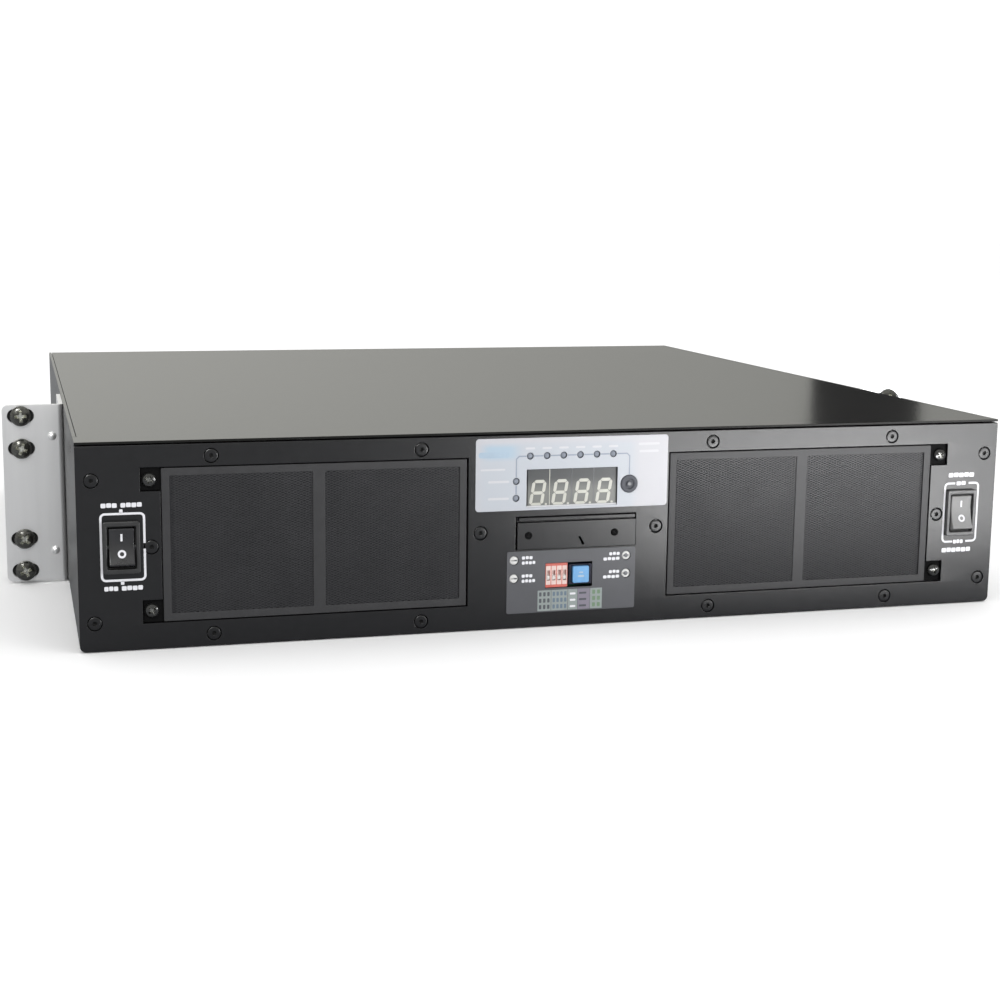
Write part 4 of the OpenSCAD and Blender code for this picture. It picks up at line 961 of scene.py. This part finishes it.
bars += [rr(-37.8, 65.5, -28.2, 66.5, 0.5, 3), rr(-37.8, 58.0, -28.2, 59.0, 0.5, 3), rr(-41.2, 71.0, -30.0, 71.8, 0.4, 3)]
ink("display_bars", bars, YL, M["soft_ink"], 0.02)
ink("display_blue_bar", [rr(-42.2, 76.6, -28.2, 79.2, 1.2, 5)], YL, M["blue_ink"], 0.02)

# digit modules
sh = Shape()
for k, x in enumerate(DIGX):
    xe = WIN[2] - 0.12 if k == 3 else x + 4.98
    sh.add(*flat([rr(x - 4.98, WIN[1] + 0.2, xe, WIN[3] - 0.2, 0.15, 1)], YF + 0.7, YF + 9.3, 0.14, 1))
obj_from("digit_blocks", sh, M["digit"], "case", ["digit_displays"], angle=28)
sh = Shape()
lean = math.tan(math.radians(9))


def seg(cx, cz, horiz, L_, t):
    h = t / 2
    if horiz:
        p = [(-L_ / 2, 0), (-L_ / 2 + h, -h), (L_ / 2 - h, -h), (L_ / 2, 0), (L_ / 2 - h, h), (-L_ / 2 + h, h)]
    else:
        p = [(0, -L_ / 2), (h, -L_ / 2 + h), (h, L_ / 2 - h), (0, L_ / 2), (-h, L_ / 2 - h), (-h, -L_ / 2 + h)]
    return [(cx + a, cz + b) for a, b in p]


segs = []
for x in DIGX:
    base_z, hh, ww, t = 60.4, 5.1, 2.55, 1.4
    loc = [seg(0, hh, True, 2 * ww - 0.25, t), seg(0, 0, True, 2 * ww - 0.25, t), seg(0, -hh, True, 2 * ww - 0.25, t)]
    for sx in (-1, 1):
        for sz in (-1, 1):
            loc.append(seg(sx * ww, sz * hh / 2, False, hh - 0.25, t))
    for lp in loc:
        segs.append([(x - 0.25 + a + lean * b, base_z + b) for a, b in lp])
    segs.append(circ(x + 3.55, base_z - hh - 0.05, 0.55, 16))
ink("digit_segments", segs, YF + 0.7, M["segment"], 0.04)
# painted light: pale strips between the modules stand in for light seen through the gaps, and a pale strip along the
# lower edge of the window is a painted reflection
gap_light_strips = [rr((a + b) / 2 - 0.16, WIN[1] + 0.3, (a + b) / 2 + 0.16, WIN[3] - 0.3) for a, b in zip(DIGX, DIGX[1:])]
ink("digit_separator_1", gap_light_strips[:1], YF + 0.66, M["segment"], 0.05)
ink("digit_separators_2_3", gap_light_strips[1:], YF + 0.66, M["adj_grey"], 0.05)
# painted reflection: a pale strip stands in for the white reflection low in the window
sh = Shape()
sh.add(*flat([rr(WIN[0] + 0.15, WIN[1] + 0.05, WIN[2] - 0.15, WIN[1] + 0.85, 0.1, 1)], YF + 0.1, YF + 0.66, 0.1, 1))
obj_from("window_lower_strip", sh, M["soft_ink"], "case")

# lamps: domed caps on stems
sh = Shape()
for x, z in [(x, LEDZ) for x in LEDX] + LED2:
    sh.lathe([(0, 0.22), (0.45, 0.2), (0.9, 0.08), (1.3, -0.15), (1.49, -0.5), (1.52, -0.9), (1.52, -3.35), (1.7, -3.4), (1.7, -9.2), (0, -9.2)], 28, tf=toward(x, YF + 0.1, z))
obj_from("signal_lamp_caps", sh, M["lamp"], "case", ["status_leds"], angle=40)

# select button: dished cap with ring groove and light centre
sh = Shape()
sh.lathe([(0, 0.86), (0.95, 0.9), (1.2, 0.82), (1.28, 0.5), (1.34, 0.3), (2.2, 0.3), (2.28, 0.5), (2.36, 0.82), (2.55, 0.9), (3.45, 0.9), (3.78, 0.78), (3.9, 0.45), (3.9, -2.95), (4.6, -3.0), (4.6, -4.0), (1.7, -4.0), (1.7, -7.3), (0, -7.3)], 64, tf=toward(BTN[0], YF, BTN[1]))
obj_from("select_button_cap", sh, M["button_grey"], "select_key", ["select_button"], angle=26)
sh = Shape()
sh.lathe([(0, 0.89), (0.8, 0.91), (0.84, 0.86), (0.84, 0.6), (0, 0.6)], 32, tf=toward(BTN[0], YF, BTN[1]))
obj_from("select_button_centre", sh, M["adj_grey"], "select_key", angle=26)

# ------------------------------------------------------------------ option slot cover
sh = Shape()
notch = [(5.7 + a * math.cos(math.radians(30)) - b * math.sin(math.radians(30)) * -1, 38.4 - a * math.sin(math.radians(30)) + b * math.cos(math.radians(30))) for a, b in ((-0.5, -2.1), (0.5, -2.1), (0.5, 2.1), (-0.5, 2.1))]
nc, ns = math.cos(math.radians(30)), math.sin(math.radians(30))
notch = [(5.7 + a * nc - b * ns, 38.4 + a * ns + b * nc) for a, b in ((-0.5, -2.1), (0.5, -2.1), (0.5, 2.1), (-0.5, 2.1))]
sh.add(*flat([rr(SLOT[0] + 0.9, SLOT[1] + 0.03, SLOT[2] - 0.03, 47.3, 0.3, 3), notch] + [circ(x, z, 1.05, 20) for x, z in SLOTS], YF + 0.1, YF + 1.5, 0.10, 1))
for za, zb in ((46.1, 47.3), (SLOT[1] + 0.15, SLOT[1] + 1.35)):
    sh.add(*flat([rr(SLOT[0] + 0.95, za + 0.02, SLOT[2] - 0.2, zb - 0.02, 0.1, 1)], YF + 1.3, YW, 0.05, 1))
sh.add(*flat([rr(SLOT[0] + 0.9, 46.5, SLOT[2] - 0.15, SLOT[3] - 0.6, 0.2, 2)], YW - 1.2, YW, 0.1, 1))
sh.add(*flat([rr(SLOT[0] + 1.6, 47.9, SLOT[2] - 0.25, SLOT[3] - 0.6, 0.35, 3)], YF + 0.35, YW - 1.1, 0.2, 2))
obj_from("option_slot_cover", sh, M["panel"], "case", ["slot_cover"], angle=28)

# ------------------------------------------------------------------ settings field
sh = Shape()
sh.add(*flat([rr(*SETL, 0.8, 4), rr(DIP[0] - 0.2, DIP[1] - 0.2, RST[2] + 0.2, DIP[3] + 0.2, 0.2, 2)] + [circ(x, z, 2.1, 32) for x, z in TRIM], YF - 0.3, YF, 0.07, 1))
obj_from("settings_film", sh, M["grey_label"], "case", ["settings_label"], angle=28)
marks = []
for z in (30.6, 22.4):
    marks += blocks(-21.9, z + 0.35, 4.9, 1.5, 3, 0.3) + blocks(-21.9, z - 1.95, 6.2, 1.5, 4, 0.3)
for z in (30.7, 22.5):
    marks += blocks(18.9, z + 0.35, 4.9, 1.5, 3, 0.3) + blocks(16.2, z - 1.95, 7.6, 1.5, 4, 0.3)
ink("settings_marks", marks, YL, M["ink"], 0.025)
for k, (x0, x1, mt) in enumerate(((-14.4, -8.2, "table_a"), (-8.0, -0.4, "table_a"), (-0.2, 4.2, "table_a"), (4.4, 10.0, "table_c"), (10.2, 15.8, "table_a"))):
    ink(f"settings_table_{k + 1}", [rr(x0, 6.9 + 0.25, x1, 16.5)], YL, M[mt], 0.02)
cells_b, cells_d, cells_g, cells_p = [], [], [], []
for r in range(3):
    zz = 8.0 + 2.9 * r
    for c in range(3):
        cells_d.append(rr(-13.7 + 1.9 * c, zz, -12.6 + 1.9 * c, zz + 1.9, 0.2, 1))
    for c in range(4):
        cells_b.append(rr(-7.4 + 1.8 * c, zz, -6.3 + 1.8 * c, zz + 1.9, 0.2, 1))
    cells_d.append(rr(5.0, zz + 0.3, 8.4, zz + 1.2, 0.2, 1))
    for c in range(2):
        cells_g.append(rr(11.2 + 2.3 * c, zz, 12.6 + 2.3 * c, zz + 1.9, 0.2, 1))
    cells_p.append(rr(0.7, zz + 0.2, 3.3, zz + 1.1, 0.2, 1))
ink("table_marks_dark", cells_d, YL - 0.02, M["table_e"], 0.02)
ink("table_marks_blue", cells_b, YL - 0.02, M["table_b"], 0.02)
ink("table_marks_green", cells_g, YL - 0.02, M["table_d"], 0.02)
ink("table_marks_pale", cells_p, YL - 0.02, M["ink"], 0.02)

# DIP block with real grooves
sh = Shape()
sh.add(*flat([rr(DIP[0], DIP[1], DIP[2], DIP[3], 0.3, 3)] + [rr(x - 0.75, DIPZ - 2.3, x + 0.75, DIPZ + 2.3, 0.15, 2) for x in DIPX], YF + 0.1, YF + 2.0, 0.1, 1))
sh.add(*flat([rr(DIP[0] + 0.02, DIP[1] + 0.02, DIP[2] - 0.02, DIP[3] - 0.02, 0.3, 3)], YF + 1.98, YF + 7, 0.05, 1))
obj_from("dip_block", sh, M["dip_red"], "case", ["dip_switch_body"], angle=28)
ink("dip_marks", [(rr(x - 1.08, DIP[1] + 1.3, x + 1.08, DIP[3] - 1.2, 0.25, 2), rr(x - 0.75, DIPZ - 2.3, x + 0.75, DIPZ + 2.3, 0.15, 2)) for x in DIPX], YF + 0.1, M["dip_pale"], 0.03)
ink("dip_groove_floors", [rr(x - 0.72, DIPZ - 2.27, x + 0.72, DIPZ + 2.27, 0.12, 2) for x in DIPX], YF + 1.16, M["dip_pale"], 0.02)
for i, x in enumerate(DIPX):
    sh = Shape()
    sh.add(*flat([rr(x - 0.7, DIPZ - 2.2, x + 0.7, DIPZ + 0.2, 0.12, 2)], YF + 0.72, YF + 1.1, 0.08, 1))
    sh.add(*flat([rr(x - 0.6, DIPZ - 1.9, x + 0.6, DIPZ - 0.12, 0.15, 2)], YF + 0.12, YF + 0.8, 0.12, 1))
    obj_from(f"dip_slider_{i + 1}_cap", sh, M["slider"], f"dip_{i + 1}", [f"dip_slider_{i + 1}"], angle=30)

# reset button and its housing
sh = Shape()
sh.add(*flat([rr(*RST, 0.35, 3), rr(1.45, 19.25, 9.35, 27.15, 0.3, 2)], YF - 0.1, YF + 4.4, 0.14, 1))
sh.add(*flat([rr(RST[0] + 0.02, RST[1] + 0.02, RST[2] - 0.02, RST[3] - 0.02, 0.35, 3)], YF + 4.38, YF + 7, 0.08, 1))
obj_from("reset_housing", sh, M["housing_navy"], "case", ["reset_button_housing"], angle=28)
sh = Shape()
sh.add(*flat([rr(1.6, 19.4, 9.2, 27.0, 0.7, 4)], YF - 1.3, YF + 3.2, 0.32, 2))
obj_from("reset_button_cap", sh, M["button_blue"], "reset_key", ["reset_button"], angle=28)
ink("reset_button_mark", [rr(3.9, 22.0, 6.9, 22.9, 0.3, 2), rr(4.4, 23.8, 6.4, 24.5, 0.3, 2)], YF - 1.3, M["blue_ink"], 0.02, "reset_key")

# adjusters: slotted white heads, the right pair with a grey centre
for i, (x, z) in enumerate(TRIM):
    base = Shape()
    base.lathe([(0, 0.0), (1.55, 0.0), (1.82, -0.06), (1.95, -0.25), (1.95, -3.0), (1.2, -3.05), (1.2, -6.4), (0, -6.4)], 40)
    tool = Shape()
    tool.box((-1.45, -0.34, -0.75), (1.45, 0.34, 0.5))
    c = cut(base, [tool])
    sh = Shape()
    sh.add(c.v, c.f, tf=toward(x, YF + 0.1, z))
    obj_from(f"adjuster_{i + 1}_head", sh, M["adj_white"], f"trimmer_{i + 1}", [f"trimmer_rotor_{i + 1}"], angle=28)
    sh = Shape()
    if i >= 2:
        sh.add(*flat([circ(x, z, 0.95, 28), ], YF + 0.055, YF + 0.2, 0.02, 1))
        o = obj_from(f"adjuster_{i + 1}_centre", sh, M["adj_grey"], f"trimmer_{i + 1}", angle=28)
    else:
        sh.add(*flat([rr(x + 0.35, z - 0.28, x + 1.6, z + 0.28, 0.2, 2)], YF + 0.07, YF + 0.2, 0.02, 1))
        o = obj_from(f"adjuster_{i + 1}_pointer", sh, M["adj_grey"], f"trimmer_{i + 1}", angle=28)

# ------------------------------------------------------------------ rear pieces
sh = Shape()
for (x, z), mi in (((26, 27), 0), ((61, 27), 1)):
    tf = toward(x, YR, z, "+y")
    sh.lathe([(4.0, -8), (8, -8), (8, 0), (11.6, 0), (12, 0.4), (12, 4.3), (11.4, 5), (8.6, 5), (8.2, 4.4), (4.6, 4.4), (4.05, 4.0), (4.0, -8)], 56, mi, tf)
obj_from("terminal_collars", sh, [M["terminal_black"], M["terminal_red"]], "case", ["dc_terminals"], angle=30)
sh = Shape()
for x, z in ((26, 27), (61, 27)):
    tf = toward(x, YR, z, "+y")
    pr = [(0, -14), (3.5, -14), (3.98, -13.5), (3.98, 5.0)]
    h = 5.0
    while h < 21.4:
        pr += [(3.98, h + 0.3), (3.55, h + 0.62), (3.98, h + 0.94)]
        h += 1.25
    pr += [(3.98, 22.2), (3.3, 23.0), (0, 23.0)]
    sh.lathe(pr, 40, 0, tf)
    # washer and hexagon nut
    sh.lathe([(4.05, 4.45), (8.0, 4.45), (8.0, 5.7), (4.05, 5.7), (4.05, 4.45)], 40, 0, tf)
    sh.lathe([(4.02, 5.7), (6.6, 5.7), (7.3, 6.1), (7.3, 10.6), (6.6, 11.1), (4.02, 11.1), (4.02, 5.7)], 6, 0, tf, phase=math.radians(12 if x < 40 else 40))
obj_from("terminal_studs", sh, M["terminal"], "case", angle=30)

sh = Shape()
tf = toward(174, YR, 64, "+y")
sh.lathe([(3.38, -8), (5.4, -8), (5.4, 0), (5.9, 0.1), (5.9, 3.7), (5.6, 4.0), (3.7, 4.0), (3.38, 3.7), (3.38, -8)], 40, 0, tf)
sh.lathe([(5.88, 0.0), (8.2, 0.0), (8.55, 0.25), (8.55, 1.9), (8.2, 2.2), (5.88, 2.2), (5.88, 0)], 6, 0, tf, phase=math.radians(30))
sh.add(*flat([rr(165, 56, 183, 72, 0.8, 3)], YR - 24, YR - 7.9, 0.4, 1))
obj_from("breaker_neck", sh, M["connector"], "case", ["breaker_body"], angle=30)
sh = Shape()
sh.lathe([(0, 6.2), (1.6, 6.25), (2.2, 6.45), (2.9, 6.5), (3.25, 6.2), (3.3, 5.8), (3.3, -7.8), (0, -7.8)], 40, 0, tf)
obj_from("breaker_cap", sh, M["reset_white"], "breaker_key", ["breaker_button"], angle=30)

# ------------------------------------------------------------------ floor and studio
floor_sh = Shape()
N = 24
S = 9000.0
vs = [(-S + 2 * S * i / N, -S + 2 * S * j / N, -0.4) for j in range(N + 1) for i in range(N + 1)]
fs = [(j * (N + 1) + i, j * (N + 1) + i + 1, (j + 1) * (N + 1) + i + 1, (j + 1) * (N + 1) + i) for j in range(N) for i in range(N)]
me = bpy.data.meshes.new("floor")
me.from_pydata([(x * MM, y * MM, z * MM) for x, y, z in vs], [], fs)
floor = bpy.data.objects.new("floor", me)
bpy.context.scene.collection.objects.link(floor)
fm = grown("floor_white", (0.92, 0.92, 0.92, 1), rough=0.9, spec=0.1, var=0.008, vscale=1.5, bump=0.0)
# the floor as reflections in the paint see it is a darker grey
fb = fm.node_tree.nodes["Principled BSDF"]
fcol = fb.inputs["Base Color"].links[0].from_socket
flp = fm.node_tree.nodes.new("ShaderNodeLightPath")
fmix = fm.node_tree.nodes.new("ShaderNodeMix")
fmix.data_type = "RGBA"
fmix.inputs[7].default_value = (0.408, 0.42, 0.436, 1)
fm.node_tree.links.new(flp.outputs["Is Glossy Ray"], fmix.inputs[0])
fm.node_tree.links.new(fcol, fmix.inputs[6])
fm.node_tree.links.new(fmix.outputs[2], fb.inputs["Base Color"])
me.materials.append(fm)


def area(name, at, aim, w, h, power, visible=True, col=(1, 1, 1)):
    ld = bpy.data.lights.new(name, "AREA")
    ld.shape = "RECTANGLE"
    ld.size, ld.size_y = w, h
    ld.energy = power
    ld.color = col
    lo = bpy.data.objects.new(name, ld)
    bpy.context.scene.collection.objects.link(lo)
    lo.location = at
    d = Vector(aim) - Vector(at)
    lo.rotation_euler = d.to_track_quat("-Z", "Y").to_euler()
    lo.visible_camera = False
    lo.visible_glossy = visible
    return lo


def card(name, at, aim, w, h, value):
    """Plain matte card that only reflections see."""
    me_ = bpy.data.meshes.new(name)
    me_.from_pydata([(-w / 2, -h / 2, 0), (w / 2, -h / 2, 0), (w / 2, h / 2, 0), (-w / 2, h / 2, 0)], [], [(0, 1, 2, 3)])
    o = bpy.data.objects.new(name, me_)
    bpy.context.scene.collection.objects.link(o)
    mt = bpy.data.materials.new(name)
    mt.use_nodes = True
    nt = mt.node_tree
    nt.nodes.clear()
    out = nt.nodes.new("ShaderNodeOutputMaterial")
    em = nt.nodes.new("ShaderNodeEmission")
    em.inputs["Color"].default_value = (value, value, value, 1)
    em.inputs["Strength"].default_value = 1.0
    nt.links.new(em.outputs[0], out.inputs[0])
    me_.materials.append(mt)
    o.location = at
    d = Vector(aim) - Vector(at)
    o.rotation_euler = d.to_track_quat("Z", "Y").to_euler()
    o.visible_camera = False
    o.visible_diffuse = False
    o.visible_shadow = False
    o.visible_transmission = False
    return o


DIFFUSE_WORLD = 1.13
world = bpy.data.worlds.new("studio")
bpy.context.scene.world = world
world.use_nodes = True
nt = world.node_tree
bg = nt.nodes["Background"]
bg.inputs["Color"].default_value = (1, 1, 1, 1)
lp = nt.nodes.new("ShaderNodeLightPath")
ws = nt.nodes.new("ShaderNodeMapRange")
ws.inputs["To Min"].default_value = DIFFUSE_WORLD
# reflections see a backdrop that darkens to the right and towards the horizon
wc = nt.nodes.new("ShaderNodeTexCoord")
wx = nt.nodes.new("ShaderNodeSeparateXYZ")
nt.links.new(wc.outputs["Generated"], wx.inputs[0])
terms = []
for socket, gain in ((wx.outputs[0], -0.46), (wx.outputs[2], 1.97)):
    mm_ = nt.nodes.new("ShaderNodeMath")
    mm_.operation = "MULTIPLY"
    mm_.inputs[1].default_value = gain
    nt.links.new(socket, mm_.inputs[0])
    terms.append(mm_.outputs[0])
ad = nt.nodes.new("ShaderNodeMath")
ad.operation = "ADD"
nt.links.new(terms[0], ad.inputs[0])
nt.links.new(terms[1], ad.inputs[1])
cl = nt.nodes.new("ShaderNodeMapRange")
for k, v in zip(("From Min", "From Max", "To Min", "To Max"), (-0.10, 0.34, 0.337, 0.777)):
    cl.inputs[k].default_value = v
nt.links.new(ad.outputs[0], cl.inputs["Value"])
nt.links.new(cl.outputs[0], ws.inputs["To Max"])
nt.links.new(lp.outputs["Is Glossy Ray"], ws.inputs["Value"])
nt.links.new(ws.outputs[0], bg.inputs["Strength"])
wt = nt.nodes.new("ShaderNodeMix")
wt.data_type = "RGBA"
wt.inputs[6].default_value = (1, 1, 1, 1)
wt.inputs[7].default_value = (1, 1.0, 0.94, 1)
nt.links.new(lp.outputs["Is Glossy Ray"], wt.inputs[0])
nt.links.new(wt.outputs[2], bg.inputs["Color"])

area("top_soft", (0.0, -0.3, 1.9), (0, 0, 0), 2.4, 2.4, 8)
area("right_low", (0.75, -1.05, 0.17), (0.12, -0.2175, 0.05), 0.6, 0.3, 6.3, visible=False)
# its reflection, kept below the height of the lid so that the lid doesn't mirror it
card("right_low_glow", (0.75, -1.05, 0.043), (0.12, -0.2175, 0.043), 0.6, 0.084, 18.0)
# bright areas of the table that the front panel mirrors on its right half
for i_, (xa, xb, ya, yb, e_) in enumerate(((0.1, 0.35, -0.35, -0.6, 19.6), (0.1, 0.35, -0.6, -0.95, 3.6), (0.35, 0.7, -0.6, -0.95, 15.8))):
    cxx, cyy = (xa + xb) / 2, (ya + yb) / 2
    card(f"table_glow_{i_}", (cxx, cyy, 0.0005), (cxx, cyy, 1), xb - xa, ya - yb, e_)
# dark upright behind the row, mirrored in the lid near its right end
card("dark_upright", (0.5626, 0.5744, 1.0), (-0.2348, -0.928, 1.0), 0.104, 2.1, 0.03)
# small bright window high on the left, for the glints on screw heads
card("glint_window", (-0.75, -1.15, 1.05), (-0.2, -0.1, 0.05), 0.45, 0.45, 34.0)
